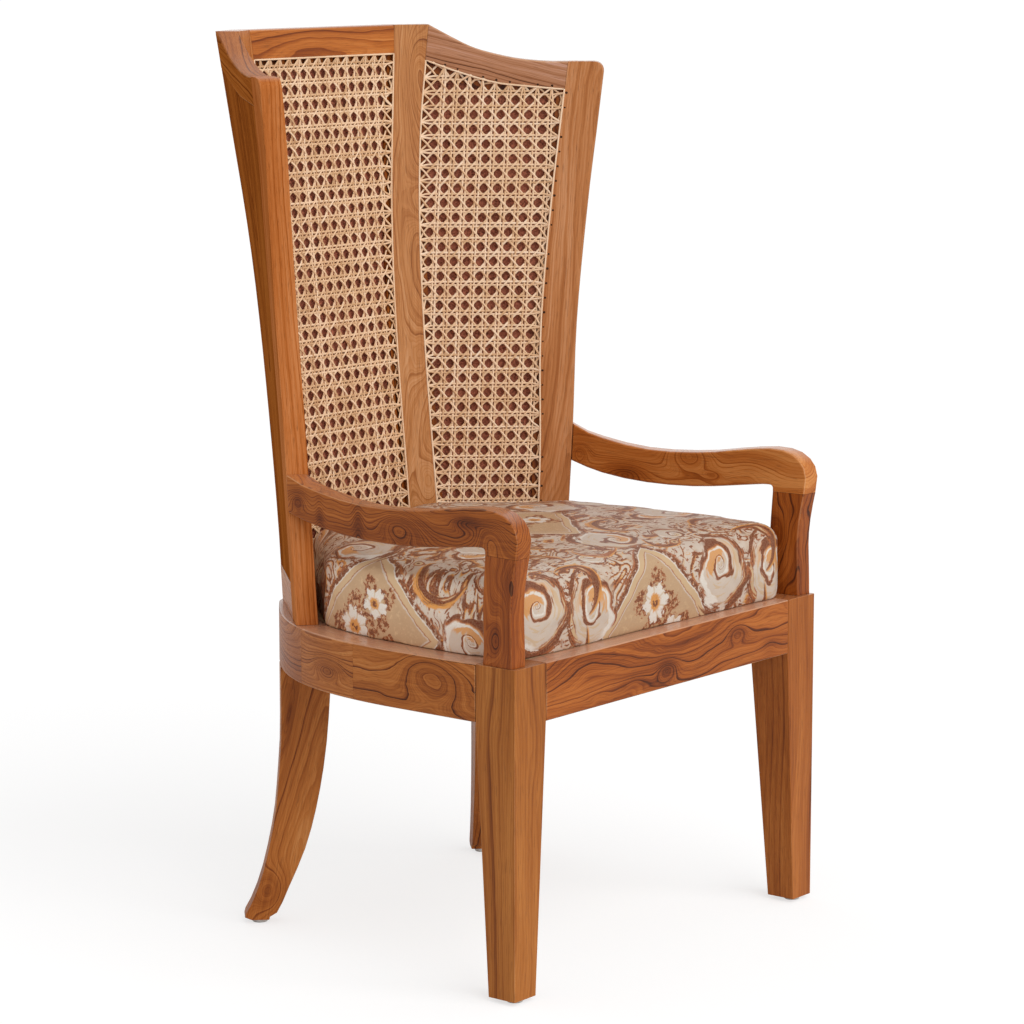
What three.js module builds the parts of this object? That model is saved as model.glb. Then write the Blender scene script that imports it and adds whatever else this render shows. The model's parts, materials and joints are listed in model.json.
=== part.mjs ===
// Winged high-back armchair: a wooden frame, three caned panels and an upholstered seat.
// Millimetres, +Z up, the front faces -Y, the floor is at zero.
import * as THREE from 'three';
import { mergeVertices } from 'three/addons/utils/BufferGeometryUtils.js';

// General sizes
const seam = 0.3;
const degree = Math.PI / 180;
const seatWidth = 620;
const seatTop = 405;
const backTop = 1127;
const boardThickness = 28;

// Glides
const glideRadius = 10;
const glideHeight = 5;
const glideChamfer = 1;
const glideFacets = 20;
const frontGlideAcross = 20;
const frontGlideBehind = 16;

// Front legs
const legTopSize = 59.5;
const legFootSize = 40.5;
const legArris = 1.5;

// Seat frame
const railHeight = 70;
const frontRailThickness = 30;
const frameThickness = 40;
const frameArris = 2.5;
const frameReveal = 4.5;
const sideStraight = 177.5;
const sidePull = 199;
const cornerPull = 107;
const cornerAngle = 41.5 * degree;
const bendSteps = 20;
const sideSeamShare = 0.14;
const cornerSeamShare = 0.407;

// Rear legs
const rearLegDepth = 63;
const rearLegSweep = 48.5;
const rearLegThickness = 38;
const rearFootThickness = 31;
const rearLegArris = 1.5;
const rearLegPlace = 0.79;
const rearHeels = [0, 0.0105, 0.027, 0.07, 0.13, 0.2, 0.28, 0.36, 0.44, 0.52, 0.6, 0.7, 0.8, 0.9, 1];
const rearOuterShares = [
  [0, 0.83], [0.0105, 1], [0.06, 0.84], [0.163, 0.565], [0.302, 0.325], [0.441, 0.157],
  [0.56, 0.085], [0.68, 0.02], [0.8, 0], [1, 0],
];
const rearInnerShares = [
  [0, -0.275], [0.0105, -0.265], [0.027, -0.12], [0.133, 0.138], [0.279, 0.46], [0.447, 0.7],
  [0.659, 0.89], [0.885, 0.99], [1, 1],
];

// Seat base
const seatBoardThickness = 12;
const blockReach = 48;
const blockHeight = 28;

// Folded back
const foldAcross = 135.5;
const foldFlare = 49;
const foldFlareShares = [[0, 0], [0.35, 0], [0.55, 0.09], [0.69, 0.26], [0.83, 0.54], [0.95, 0.86], [1, 1]];
const foldBehind = 484;
const recline = 58.5;
const reclineShares = [[0, 0], [0.14, 0.13], [0.42, 0.475], [0.69, 0.79], [0.83, 0.93], [1, 1]];
const stileAcross = 248;
const stileFlare = 76.7;
const stileFlareShares = [[0, 0], [0.22, 0.18], [0.42, 0.31], [0.62, 0.51], [0.83, 0.755], [1, 1]];
const stileBehind = 360;
const stileForward = 12;
const stileForwardShares = [[0, 0], [0.28, 0], [0.48, -0.14], [0.69, 0.25], [0.83, 0.7], [1, 1]];
const postAngle = 26 * degree;
const postWidth = 39;
const postHeadExtra = 11;
const postHeadShares = [[0, 0], [0.8, 0], [0.92, 0.45], [1, 1]];
const postArris = 1.5;
const backTopRailHeight = 37;
const backBottomRailHeight = 45;
const backStations = 18;
const backArris = 3;

// Wings
const stileWidth = 49;
const stileNarrowing = 9;
const stileNarrowingShares = [[0, 1], [0.18, 0.85], [0.4, 0.25], [0.7, 0.05], [1, 0]];
const stileArris = 3;
const stileCornerRadius = 14;
const stileCornerSteps = 5;
const scoopDepth = 48;
const scoopShares = [[0, 0], [0.15, 0.3], [0.32, 0.61], [0.49, 0.8], [0.66, 0.93], [0.86, 1], [1, 1]];
const wingRailRoot = 46;
const wingRailHeight = 36;
const wingRailShares = [[0, 0], [0.21, 0.36], [0.5, 0.76], [0.71, 0.88], [1, 1]];
const wingRailStations = 20;

// Cane panels
const panelGap = 0.8;
const caneDepth = 2.6;
const caneThickness = 1.6;
const caneEdge = 9;
const caneStrand = 8;
const wingCaneColumns = 6;
const backCaneColumns = 8;
const caneRows = 15;
const bindingWidth = 5;
const bindingProud = 0.8;
const bindingColumns = 6;
const bindingRows = 14;
const backingDepth = 21;
const backingThickness = 6;

// Arms
const armThickness = 28;
const armRise = 190.5;
const rightArmLift = 4;
const armArris = 3;
const postSetback = 6;
const postInset = 1;
const armShares = [
  [1, 1, 1, 0.748], [0.93, 0.95, 0.93, 0.712], [0.86, 0.922, 0.86, 0.685],
  [0.76, 0.893, 0.76, 0.662], [0.66, 0.877, 0.66, 0.651], [0.56, 0.877, 0.56, 0.65],
  [0.46, 0.888, 0.46, 0.657], [0.37, 0.905, 0.37, 0.672], [0.28, 0.933, 0.29, 0.691],
  [0.2, 0.955, 0.22, 0.708], [0.13, 0.968, 0.16, 0.722], [0.075, 0.964, 0.135, 0.724],
  [0.035, 0.944, 0.124, 0.722], [0.003, 0.906, 0.119, 0.714], [-0.017, 0.857, 0.117, 0.704],
  [-0.026, 0.793, 0.117, 0.692], [-0.019, 0.682, 0.117, 0.682],
];
const armPostShares = [
  [-0.019, 0.117, 0.682], [-0.01, 0.12, 0.6], [-0.001, 0.124, 0.5], [0.004, 0.1265, 0.41],
  [0.005, 0.1275, 0.33], [0.003, 0.125, 0.22], [0.001, 0.124, 0.1], [0, 0.128, 0],
];

// Seat cushion
const cushionHeight = 99;
const cushionCrown = 9;
const cushionFront = 13;
const cushionLedge = 27;
const cushionPinch = 9;
const cushionPinchEnd = 61;
const cushionPinchFade = 26;
const cushionGap = 1.5;
const cushionCorner = 26;
const cushionTuck = 2;
const cushionTuckRise = 8;
const cushionEdge = 26;
const cushionRoundSteps = 4;
const cushionCornerSteps = 6;
const cushionPoints = 56;
const cushionSideSteps = 8;
const cushionDomeShares = [[0.78, 0.45], [0.52, 0.8], [0.26, 0.96]];

// Looks of the solids
const teak = { color: 0xb5713a, roughness: 0.45 };
const darkTeak = { color: 0x5e3820, roughness: 0.7 };
const cane = { color: 0xd9b98a, roughness: 0.6 };
const ply = { color: 0xc9a878, roughness: 0.8 };
const cloth = { color: 0xd8c3a8, roughness: 0.85 };
const nylon = { color: 0xd9d9d4, roughness: 0.5 };

// Numbers and plan vectors
const lerp = (a, b, t) => a + (b - a) * t;
const plan = (x, y) => new THREE.Vector2(x, y);
const mixed = (a, b, t) => a.clone().lerp(b, t);
const raised = (p, z) => new THREE.Vector3(p.x, p.y, z);

// A smooth curve through a table of shares
function through(shares) {
  const slope = (i, j) => (shares[j][1] - shares[i][1]) / (shares[j][0] - shares[i][0]);
  const last = shares.length - 1;
  const tangent = (i) => slope(Math.max(i - 1, 0), Math.min(i + 1, last));
  return (at) => {
    const next = shares.findIndex(([s]) => s >= at);
    const j = THREE.MathUtils.clamp(next < 0 ? last : next, 1, last);
    const span = shares[j][0] - shares[j - 1][0];
    const t = THREE.MathUtils.clamp((at - shares[j - 1][0]) / span, 0, 1);
    const a = (2 * t - 3) * t * t + 1;
    const b = ((t - 2) * t + 1) * t * span;
    const c = (t - 1) * t * t * span;
    return a * shares[j - 1][1] + (1 - a) * shares[j][1] + b * tangent(j - 1) + c * tangent(j);
  };
}

// Solids from rings and grids
function solid(points, triangles) {
  const geometry = new THREE.BufferGeometry();
  const numbers = points.flatMap((p) => [p.x, p.y, p.z]);
  geometry.setAttribute('position', new THREE.Float32BufferAttribute(numbers, 3));
  let volume = 0;
  for (const [a, b, c] of triangles) volume += points[a].dot(points[b].clone().cross(points[c]));
  geometry.setIndex(triangles.flatMap(([a, b, c]) => (volume < 0 ? [a, c, b] : [a, b, c])));
  geometry.computeVertexNormals();
  return geometry;
}

function loft(rings) {
  const n = rings[0].length;
  const triangles = [];
  rings.slice(1).forEach((_, r) => {
    for (let i = 0; i < n; i += 1) {
      const j = (i + 1) % n;
      const [a, b, c, d] = [r * n + i, r * n + j, (r + 1) * n + j, (r + 1) * n + i];
      triangles.push([a, b, c], [a, c, d]);
    }
  });
  const top = (rings.length - 1) * n;
  for (let i = 1; i < n - 1; i += 1) triangles.push([0, i + 1, i], [top, top + i, top + i + 1]);
  return solid(rings.flat(), triangles);
}

function gridSolid(columns, rows, isGap, place) {
  const [nc, nr] = [columns.length, rows.length];
  const sheet = (face) => rows.flatMap((row) => columns.map((column) => place(column, row, face)));
  const points = [...sheet(0), ...sheet(1)];
  const id = (i, j, face) => (face * nr + j) * nc + i;
  const filled = (i, j) => i >= 0 && j >= 0 && i < nc - 1 && j < nr - 1 && !isGap(i, j);
  const used = new Map();
  const at = (i, j, face) => {
    const key = id(i, j, face);
    if (!used.has(key)) used.set(key, used.size);
    return used.get(key);
  };
  const triangles = [];
  const quad = (a, b, c, d) => triangles.push([a, b, c], [a, c, d]);
  for (let j = 0; j < nr - 1; j += 1) {
    for (let i = 0; i < nc - 1; i += 1) {
      if (!filled(i, j)) continue;
      quad(at(i, j, 0), at(i + 1, j, 0), at(i + 1, j + 1, 0), at(i, j + 1, 0));
      quad(at(i, j, 1), at(i, j + 1, 1), at(i + 1, j + 1, 1), at(i + 1, j, 1));
      if (!filled(i - 1, j)) quad(at(i, j, 0), at(i, j + 1, 0), at(i, j + 1, 1), at(i, j, 1));
      if (!filled(i, j - 1)) quad(at(i, j, 0), at(i, j, 1), at(i + 1, j, 1), at(i + 1, j, 0));
      const [right, above] = [i + 1, j + 1];
      if (!filled(right, j)) quad(at(right, j, 0), at(right, j, 1), at(right, above, 1), at(right, above, 0));
      if (!filled(i, above)) quad(at(i, above, 0), at(right, above, 0), at(right, above, 1), at(i, above, 1));
    }
  }
  return solid([...used.keys()].map((key) => points[key]), triangles);
}

function mirrored(geometry) {
  const copy = geometry.clone();
  copy.scale(-1, 1, 1);
  const index = copy.getIndex();
  for (let i = 0; i < index.count; i += 3) {
    const first = index.getX(i);
    index.setX(i, index.getX(i + 2));
    index.setX(i + 2, first);
  }
  copy.computeVertexNormals();
  return copy;
}

const evenly = (count, from = 0, to = 1) => (
  Array.from({ length: count + 1 }, (_, i) => lerp(from, to, i / count))
);

// A rectangle from (0, 0) to (w, h) with four corner radii, as a ring of points
const arrisSteps = 2;
function section(w, h, radii) {
  const corners = [[0, 0, 2], [w, 0, 3], [w, h, 0], [0, h, 1]];
  return corners.flatMap(([x, y, quarter], k) => {
    const r = radii[k];
    if (!r) return [plan(x, y)];
    const centre = plan(x ? x - r : r, y ? y - r : r);
    return evenly(arrisSteps).map((share) => {
      const angle = (quarter + share) * Math.PI / 2;
      return plan(centre.x + r * Math.cos(angle), centre.y + r * Math.sin(angle));
    });
  });
}

// The back in plan at a height, for the +X side
const backShare = (z) => (z - seatTop) / (backTop - seatTop);
const foldFlareAt = through(foldFlareShares);
const reclineAt = through(reclineShares);
const stileFlareAt = through(stileFlareShares);
const stileForwardAt = through(stileForwardShares);
const postHeadAt = through(postHeadShares);
const stileNarrowingAt = through(stileNarrowingShares);
const scoopAt = through(scoopShares);
const wingRailAt = through(wingRailShares);

const fold = (z) => plan(
  foldAcross + foldFlare * foldFlareAt(backShare(z)),
  foldBehind + recline * reclineAt(backShare(z)),
);
const stileEdge = (z) => plan(
  stileAcross + stileFlare * stileFlareAt(backShare(z)),
  stileBehind - stileForward * stileForwardAt(backShare(z)),
);
const wingDirection = (z) => stileEdge(z).sub(fold(z)).normalize();
const wingOutward = (z) => plan(-wingDirection(z).y, wingDirection(z).x);
const wingLength = (z) => stileEdge(z).distanceTo(fold(z));
const postOutward = plan(Math.sin(postAngle), Math.cos(postAngle));
const backOutward = plan(0, 1);
const postAcross = plan(-Math.cos(postAngle), Math.sin(postAngle));
const postWidthAt = (z) => postWidth + postHeadExtra * postHeadAt(backShare(z));
const postInner = (z) => fold(z).addScaledVector(postAcross, postWidthAt(z));
const mitre = (a, b) => a.clone().add(b).divideScalar(1 + a.dot(b));
const stileWidthAt = (z) => stileWidth - stileNarrowing * stileNarrowingAt(backShare(z));
const stileTop = backTop - scoopDepth;
const wingRailTop = (share) => backTop - scoopDepth * scoopAt(share);
const wingRailUnder = (share) => (
  backTop - wingRailRoot - (scoopDepth + wingRailHeight - wingRailRoot) * wingRailAt(share)
);

// A point in a wing: run is the distance from the fold line and depth goes in from the front face
const wingPoint = (z, run, depth) => raised(
  fold(z).addScaledVector(wingDirection(z), run).addScaledVector(wingOutward(z), depth),
  z,
);
const wingStart = (z, depth) => depth * mitre(wingOutward(z), postOutward).dot(wingDirection(z)) + seam;
const wingJoint = (z) => wingLength(z) - stileWidthAt(z) - seam;
const backHalf = (z, depth) => postInner(z).x + depth * mitre(postOutward, backOutward).x - seam;
const backPoint = (z, x, depth) => raised(plan(x, postInner(z).y + depth), z);

// Wing and back members
function backPost() {
  const ring = (z) => {
    const outer = (p, direction) => p.clone().addScaledVector(direction, boardThickness);
    const foldOuter = outer(fold(z), mitre(wingOutward(z), postOutward));
    const innerOuter = outer(postInner(z), mitre(postOutward, backOutward));
    const onWing = mixed(foldOuter, fold(z), postArris / boardThickness);
    const onBack = mixed(foldOuter, innerOuter, postArris / foldOuter.distanceTo(innerOuter));
    return [postInner(z), fold(z), onWing, onBack, innerOuter].map((p) => raised(p, z));
  };
  return loft(evenly(backStations, seatTop + seam, backTop).map(ring));
}

function wingStile() {
  const ring = (z) => {
    const over = Math.max(z - (stileTop - stileCornerRadius), 0);
    const cut = stileCornerRadius - Math.sqrt(stileCornerRadius ** 2 - over ** 2);
    const width = stileWidthAt(z) - cut;
    const start = wingLength(z) - stileWidthAt(z);
    const outline = section(width, boardThickness, [0, stileArris, stileArris, 0]);
    return outline.map((p) => wingPoint(z, start + p.x, p.y));
  };
  const straight = evenly(backStations, seatTop + seam, stileTop - stileCornerRadius);
  const corner = evenly(stileCornerSteps).slice(1).map((share) => (
    stileTop - stileCornerRadius + stileCornerRadius * Math.sin(share * Math.PI / 2)
  ));
  return loft([...straight, ...corner].map(ring));
}

function wingRail(stations, low, high, arris) {
  const ring = (share) => {
    const height = high(share) - low(share);
    return section(height, boardThickness, [0, arris, arris, 0]).map((p) => {
      const z = low(share) + p.x;
      return wingPoint(z, lerp(wingStart(z, p.y), wingJoint(z), share), p.y);
    });
  };
  return loft(evenly(stations).map(ring));
}

function backRail(low, high, arris) {
  const ring = (share) => section(high - low, boardThickness, [0, arris, arris, 0]).map((p) => {
    const half = backHalf(low + p.x, p.y);
    return backPoint(low + p.x, lerp(-half, half, share), p.y);
  });
  return loft([ring(0), ring(1)]);
}

// Cane, its binding and the board behind it
const openingLow = seatTop + seam + backBottomRailHeight;
const backOpeningHigh = backTop - backTopRailHeight;

function wingPlace(near, thickness) {
  return (column, row, face) => {
    const depth = near + thickness * face;
    const rough = lerp(openingLow, wingRailUnder(column.share), row.share);
    const share = column.share + column.offset / (wingJoint(rough) - wingStart(rough, depth));
    const z = lerp(openingLow, wingRailUnder(share), row.share) + row.offset;
    return wingPoint(z, lerp(wingStart(z, depth), wingJoint(z), share), depth);
  };
}

function backPlace(near, thickness) {
  return (column, row, face) => {
    const depth = near + thickness * face;
    const z = lerp(openingLow, backOpeningHigh, row.share) + row.offset;
    return backPoint(z, lerp(-backHalf(z, depth), backHalf(z, depth), column.share) + column.offset, depth);
  };
}

const line = (share, offset) => ({ share, offset });
const netLines = (count) => [
  line(0, panelGap), line(0, caneEdge),
  ...evenly(count).slice(1, -1).flatMap((s) => [line(s, -caneStrand / 2), line(s, caneStrand / 2)]),
  line(1, -caneEdge), line(1, -panelGap),
];
const edgedLines = (count) => [
  line(0, panelGap), line(0, bindingWidth),
  ...evenly(count).slice(1, -1).map((s) => line(s, 0)),
  line(1, -bindingWidth), line(1, -panelGap),
];
const plainLines = (count) => evenly(count).map((s) => line(s, panelGap * (1 - 2 * s)));

function caneNet(columns, place) {
  const isGap = (i, j) => i % 2 === 1 && j % 2 === 1;
  return gridSolid(netLines(columns), netLines(caneRows), isGap, place(caneDepth, caneThickness));
}

function caneBinding(place) {
  const [columns, rows] = [edgedLines(bindingColumns), edgedLines(bindingRows)];
  const inside = (i, count) => i > 0 && i < count - 2;
  const isGap = (i, j) => inside(i, columns.length) && inside(j, rows.length);
  return gridSolid(columns, rows, isGap, place(-bindingProud, bindingProud + caneDepth - seam));
}

function backing(place) {
  const [columns, rows] = [plainLines(bindingColumns), plainLines(bindingRows)];
  return gridSolid(columns, rows, () => false, place(backingDepth, backingThickness));
}

// Outline of the seat frame in plan, from the side rail's front end to the middle of the back
const frameBottom = seatTop - railHeight;
const revealed = (p, direction) => p.clone().addScaledVector(direction, boardThickness)
  .addScaledVector(direction.clone().normalize(), frameReveal);
const cornerPoint = revealed(fold(seatTop), mitre(wingOutward(seatTop), postOutward));
const rearPoint = revealed(postInner(seatTop), mitre(postOutward, backOutward));
const bend = new THREE.CubicBezierCurve(
  plan(seatWidth / 2, sideStraight),
  plan(seatWidth / 2, sideStraight + sidePull),
  plan(Math.cos(cornerAngle), -Math.sin(cornerAngle)).multiplyScalar(cornerPull).add(cornerPoint),
  cornerPoint,
);
const bendPoint = (share) => bend.getPoint(share);
const bendInward = (share) => {
  const tangent = bend.getTangent(share);
  return plan(-tangent.y, tangent.x);
};
const segmentInward = (a, b) => {
  const t = b.clone().sub(a).normalize();
  return plan(-t.y, t.x);
};
const rearInward = segmentInward(cornerPoint, rearPoint);
const backInward = plan(0, -1);

// Stations of the outline: a point on it, the way in from it and the way along it
const station = (point, inward) => ({ point, inward, along: plan(inward.y, -inward.x).normalize() });
const bendStation = (share) => station(bendPoint(share), bendInward(share));
const cornerStation = station(cornerPoint, mitre(bendInward(1), rearInward));
const rearStation = station(rearPoint, mitre(rearInward, backInward));

function framePiece(stations, arris = frameArris) {
  const last = stations.length - 1;
  const ring = ({ point, inward, along }, i) => {
    const shift = i === 0 ? seam / 2 : (i === last ? -seam / 2 : 0);
    return section(frameThickness, railHeight, [arris, 0, 0, arris]).map((p) => raised(
      point.clone().addScaledVector(inward, p.x).addScaledVector(along, shift),
      frameBottom + p.y,
    ));
  };
  return loft(stations.map(ring));
}

const bendStations = (from, to) => evenly(Math.ceil(bendSteps * (to - from)), from, to).map(bendStation);

function sideRail() {
  const straight = [station(plan(seatWidth / 2, legTopSize + seam / 2), plan(-1, 0))];
  return framePiece([...straight, ...bendStations(0, sideSeamShare)]);
}

const sideBend = () => framePiece(bendStations(sideSeamShare, cornerSeamShare));
const rearCorner = () => framePiece([
  ...bendStations(cornerSeamShare, 1).slice(0, -1), cornerStation, rearStation,
]);

function rearRail() {
  const half = rearPoint.x - seam / 2;
  const inner = frameThickness * rearStation.inward.x;
  const outline = section(frameThickness, railHeight, [frameArris, 0, 0, frameArris]);
  const ring = (side) => outline.map((p) => raised(
    plan(side * (half + inner * p.x / frameThickness), rearPoint.y - p.x),
    frameBottom + p.y,
  ));
  return loft([ring(1), ring(-1)]);
}

function frontRail() {
  const half = seatWidth / 2 - legTopSize - seam;
  const ring = (x) => section(frontRailThickness, railHeight, [legArris, 0, 0, legArris]).map((p) => raised(
    plan(x, p.x),
    frameBottom + p.y,
  ));
  return loft([ring(-half), ring(half)]);
}

// Legs and glides
function frontLeg() {
  const ring = ([z, size]) => section(size, size, [legArris, legArris, legArris, legArris]).map((p) => raised(
    plan(seatWidth / 2 - p.x, p.y),
    z,
  ));
  const levels = [[glideHeight + seam, legFootSize], [frameBottom, legTopSize], [seatTop, legTopSize]];
  return loft(levels.map(ring));
}

const rearLegStation = bendStation(rearLegPlace);
const rearLegOutward = rearLegStation.inward.clone().negate();
const rearOuterAt = through(rearOuterShares);
const rearInnerAt = through(rearInnerShares);

function rearLeg() {
  const low = glideHeight + seam;
  const lap = frameThickness + 2 * seam;
  const lapTop = seatTop - seatBoardThickness - seam;
  const radii = Array(4).fill(rearLegArris);
  const ring = (z, from, to, thickness) => section(to - from, thickness, radii).map((p) => raised(
    rearLegStation.point.clone()
      .addScaledVector(rearLegOutward, from + p.x)
      .addScaledVector(rearLegStation.along, p.y - thickness / 2),
    z,
  ));
  const legRing = (share) => ring(
    lerp(low, frameBottom - seam, share),
    -rearLegDepth * rearInnerAt(share),
    rearLegSweep * rearOuterAt(share),
    lerp(rearFootThickness, rearLegThickness, share),
  );
  const lapRing = (z) => ring(z, -rearLegDepth, -lap, rearLegThickness);
  return loft([...rearHeels.map(legRing), lapRing(frameBottom - seam), lapRing(lapTop)]);
}

function welded(geometry) {
  geometry.deleteAttribute('normal');
  geometry.deleteAttribute('uv');
  const merged = mergeVertices(geometry);
  merged.computeVertexNormals();
  return merged;
}

function glide(centre) {
  const outline = [
    plan(0, 0), plan(glideRadius - glideChamfer, 0), plan(glideRadius, glideChamfer),
    plan(glideRadius, glideHeight), plan(0, glideHeight),
  ];
  const geometry = new THREE.LatheGeometry(outline, glideFacets);
  geometry.rotateX(Math.PI / 2);
  geometry.translate(centre.x, centre.y, 0);
  return welded(geometry);
}

const frontGlideCentre = plan(seatWidth / 2 - frontGlideAcross, frontGlideBehind);
const rearGlideCentre = rearLegStation.point.clone()
  .addScaledVector(rearLegOutward, (rearLegSweep * rearOuterAt(0) - rearLegDepth * rearInnerAt(0)) / 2);

// Seat base
const innerStations = [...bendStations(0, 1).slice(0, -1), cornerStation, rearStation];
const insetPoint = ({ point, inward }, inset) => point.clone().addScaledVector(inward, inset);

function extruded(points, low, high) {
  const settings = { depth: high - low, bevelEnabled: false };
  const geometry = new THREE.ExtrudeGeometry(new THREE.Shape(points), settings);
  geometry.translate(0, 0, low);
  return welded(geometry);
}

function seatBoard() {
  const inset = frameThickness + panelGap;
  const legSide = seatWidth / 2 - legTopSize - seam;
  const half = [
    plan(legSide, frontRailThickness + seam),
    plan(legSide, legTopSize + seam),
    plan(seatWidth / 2 - inset, legTopSize + seam),
    ...innerStations.map((s) => insetPoint(s, inset)),
  ];
  const other = half.map((p) => plan(-p.x, p.y)).reverse();
  return extruded([...half, ...other], seatTop - seatBoardThickness, seatTop);
}

function cornerBlock() {
  const legSide = seatWidth / 2 - legTopSize - seam;
  const railSide = seatWidth / 2 - frameThickness - seam;
  const [front, behind] = [frontRailThickness + seam, legTopSize + seam];
  const high = seatTop - seatBoardThickness - seam;
  const points = [
    plan(legSide - blockReach, front), plan(legSide, front), plan(legSide, behind),
    plan(railSide, behind), plan(railSide, behind + blockReach),
  ];
  return extruded(points, high - blockHeight, high);
}

// Arms: a share along the arm runs from the post's front to the stile
const armFrontInner = plan(seatWidth / 2 - postInset - armThickness, postSetback);
const armFrontOuter = plan(seatWidth / 2 - postInset, postSetback);
const armPlan = (along, across, z) => {
  const rear = stileEdge(z).addScaledVector(wingDirection(z), seam);
  const rearOuter = rear.clone().addScaledVector(wingOutward(z), boardThickness);
  return mixed(mixed(armFrontInner, rear, along), mixed(armFrontOuter, rearOuter, along), across);
};
const armLength = armPlan(0, 0, seatTop + armRise).distanceTo(armPlan(1, 0, seatTop + armRise));

function armRing([alongA, upA, alongB, upB], rise, lift, planAt) {
  const a = plan(alongA * armLength, upA * rise);
  const b = plan(alongB * armLength, upB * rise);
  const height = a.distanceTo(b);
  return section(armThickness, height, [armArris, armArris, armArris, armArris]).map((p) => {
    const q = mixed(a, b, p.y / height);
    const z = seatTop + q.y + lift;
    return raised(armPlan(q.x / armLength, p.x / armThickness, planAt(z)), z);
  });
}

function arm(rise) {
  const last = armShares.length - 1;
  return loft(armShares.map((row, i) => armRing(row, rise, i === last ? seam : 0, (z) => z)));
}

function armPost(rise) {
  const last = armPostShares.length - 1;
  const planAt = () => seatTop + rise * armPostShares[0][2];
  return loft(armPostShares.map(([front, behind, up], i) => (
    armRing([front, up, behind, up], rise, i === last ? seam : 0, planAt)
  )));
}

// Cushion
function cushion() {
  const half = seatWidth / 2 - cushionLedge;
  const narrow = half - cushionPinch;
  const corner = evenly(cushionCornerSteps).map((s) => plan(
    narrow - cushionCorner * (1 - Math.sin(s * Math.PI / 2)),
    cushionFront + cushionCorner * (1 - Math.cos(s * Math.PI / 2)),
  ));
  const widening = [plan(narrow, cushionPinchEnd), plan(half, cushionPinchEnd + cushionPinchFade)];
  const reach = seatTop + seam;
  const sideShares = evenly(cushionSideSteps, 0, cornerSeamShare);
  const toStile = sideShares.map((s) => insetPoint(bendStation(s), cushionLedge));
  const clear = (p, direction) => raised(p.clone().addScaledVector(direction, -cushionGap), 0);
  const stilePoint = clear(stileEdge(reach), wingOutward(reach));
  const foldPoint = clear(fold(reach), mitre(wingOutward(reach), postOutward));
  const innerPoint = clear(postInner(reach), mitre(postOutward, backOutward));
  const back = [stilePoint, foldPoint, innerPoint];
  const right = [...corner, ...widening, ...toStile, ...back].map((p) => plan(p.x, p.y));
  const left = right.map((p) => plan(-p.x, p.y)).reverse();
  const outline = new THREE.Shape([...right, ...left]).getSpacedPoints(cushionPoints).slice(0, -1);
  const count = outline.length;
  const centre = outline.reduce((sum, p) => sum.add(p), plan(0, 0)).divideScalar(count);
  const inward = outline.map((p, i) => {
    const [before, after] = [outline[(i + count - 1) % count], outline[(i + 1) % count]];
    return segmentInward(before, after);
  });
  const level = (inset, z) => outline.map((p, i) => raised(p.clone().addScaledVector(inward[i], inset), z));
  const dome = ([share, rise]) => level(cushionEdge, 0).map((p) => raised(
    mixed(centre, plan(p.x, p.y), share),
    reach + cushionHeight + cushionCrown * rise,
  ));
  const shoulder = reach + cushionHeight - cushionEdge;
  const round = evenly(cushionRoundSteps).map((s) => level(
    cushionEdge * (1 - Math.cos(s * Math.PI / 2)),
    shoulder + cushionEdge * Math.sin(s * Math.PI / 2),
  ));
  const foot = [
    level(cushionTuck, reach),
    level(cushionTuck / 2, reach + cushionTuck / 2),
    level(0, reach + cushionTuckRise),
  ];
  return loft([...foot, ...round, ...cushionDomeShares.map(dome)]);
}

// Naming and gathering
const part = new THREE.Group();
part.name = 'winged_armchair';

function add(name, geometry, look) {
  const material = new THREE.MeshStandardMaterial({ ...look, metalness: 0 });
  material.name = name;
  const mesh = new THREE.Mesh(geometry, material);
  mesh.name = name;
  part.add(mesh);
}

function pair(name, geometry, look) {
  add(`${name}_right`, geometry, look);
  add(`${name}_left`, mirrored(geometry), look);
}

pair('front_leg', frontLeg(), teak);
pair('rear_leg', rearLeg(), teak);
pair('front_glide', glide(frontGlideCentre), nylon);
pair('rear_glide', glide(rearGlideCentre), nylon);
add('front_rail', frontRail(), teak);
pair('side_rail', sideRail(), teak);
pair('side_bend', sideBend(), teak);
pair('rear_corner', rearCorner(), teak);
add('rear_rail', rearRail(), teak);
pair('corner_block', cornerBlock(), teak);
add('seat_board', seatBoard(), ply);
add('seat_cushion', cushion(), cloth);
add('arm_post_right', armPost(armRise + rightArmLift), teak);
add('arm_post_left', mirrored(armPost(armRise)), teak);
add('arm_right', arm(armRise + rightArmLift), teak);
add('arm_left', mirrored(arm(armRise)), teak);
pair('back_post', backPost(), teak);
add('back_top_rail', backRail(backOpeningHigh, backTop, backArris), teak);
add('back_bottom_rail', backRail(seatTop + seam, openingLow, 0), teak);
pair('wing_top_rail', wingRail(wingRailStations, wingRailUnder, wingRailTop, backArris), teak);
pair('wing_bottom_rail', wingRail(1, () => seatTop + seam, () => openingLow, 0), teak);
pair('wing_stile', wingStile(), teak);
add('back_cane', caneNet(backCaneColumns, backPlace), cane);
pair('wing_cane', caneNet(wingCaneColumns, wingPlace), cane);
add('back_cane_binding', caneBinding(backPlace), cane);
pair('wing_cane_binding', caneBinding(wingPlace), cane);
add('back_backing', backing(backPlace), darkTeak);
pair('wing_backing', backing(wingPlace), darkTeak);

// Centre the whole chair over the origin, feet on the floor
const box = new THREE.Box3().setFromObject(part);
const middle = box.getCenter(new THREE.Vector3());
part.children.forEach((mesh) => mesh.geometry.translate(-middle.x, -middle.y, -box.min.z));

export default part;
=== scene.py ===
# %% [markdown]
# # A winged armchair with caned panels
# This lesson dresses a finished frame of plain solids. The wood gets softened
# arrises and its own figure, the plain nets become woven cane, and the block on
# the seat becomes a stuffed cushion in printed satin. Every length is in metres.
# The frame comes first, because each later piece takes its place from it.

# %% The frame and its box
import json
import math
import random

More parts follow.
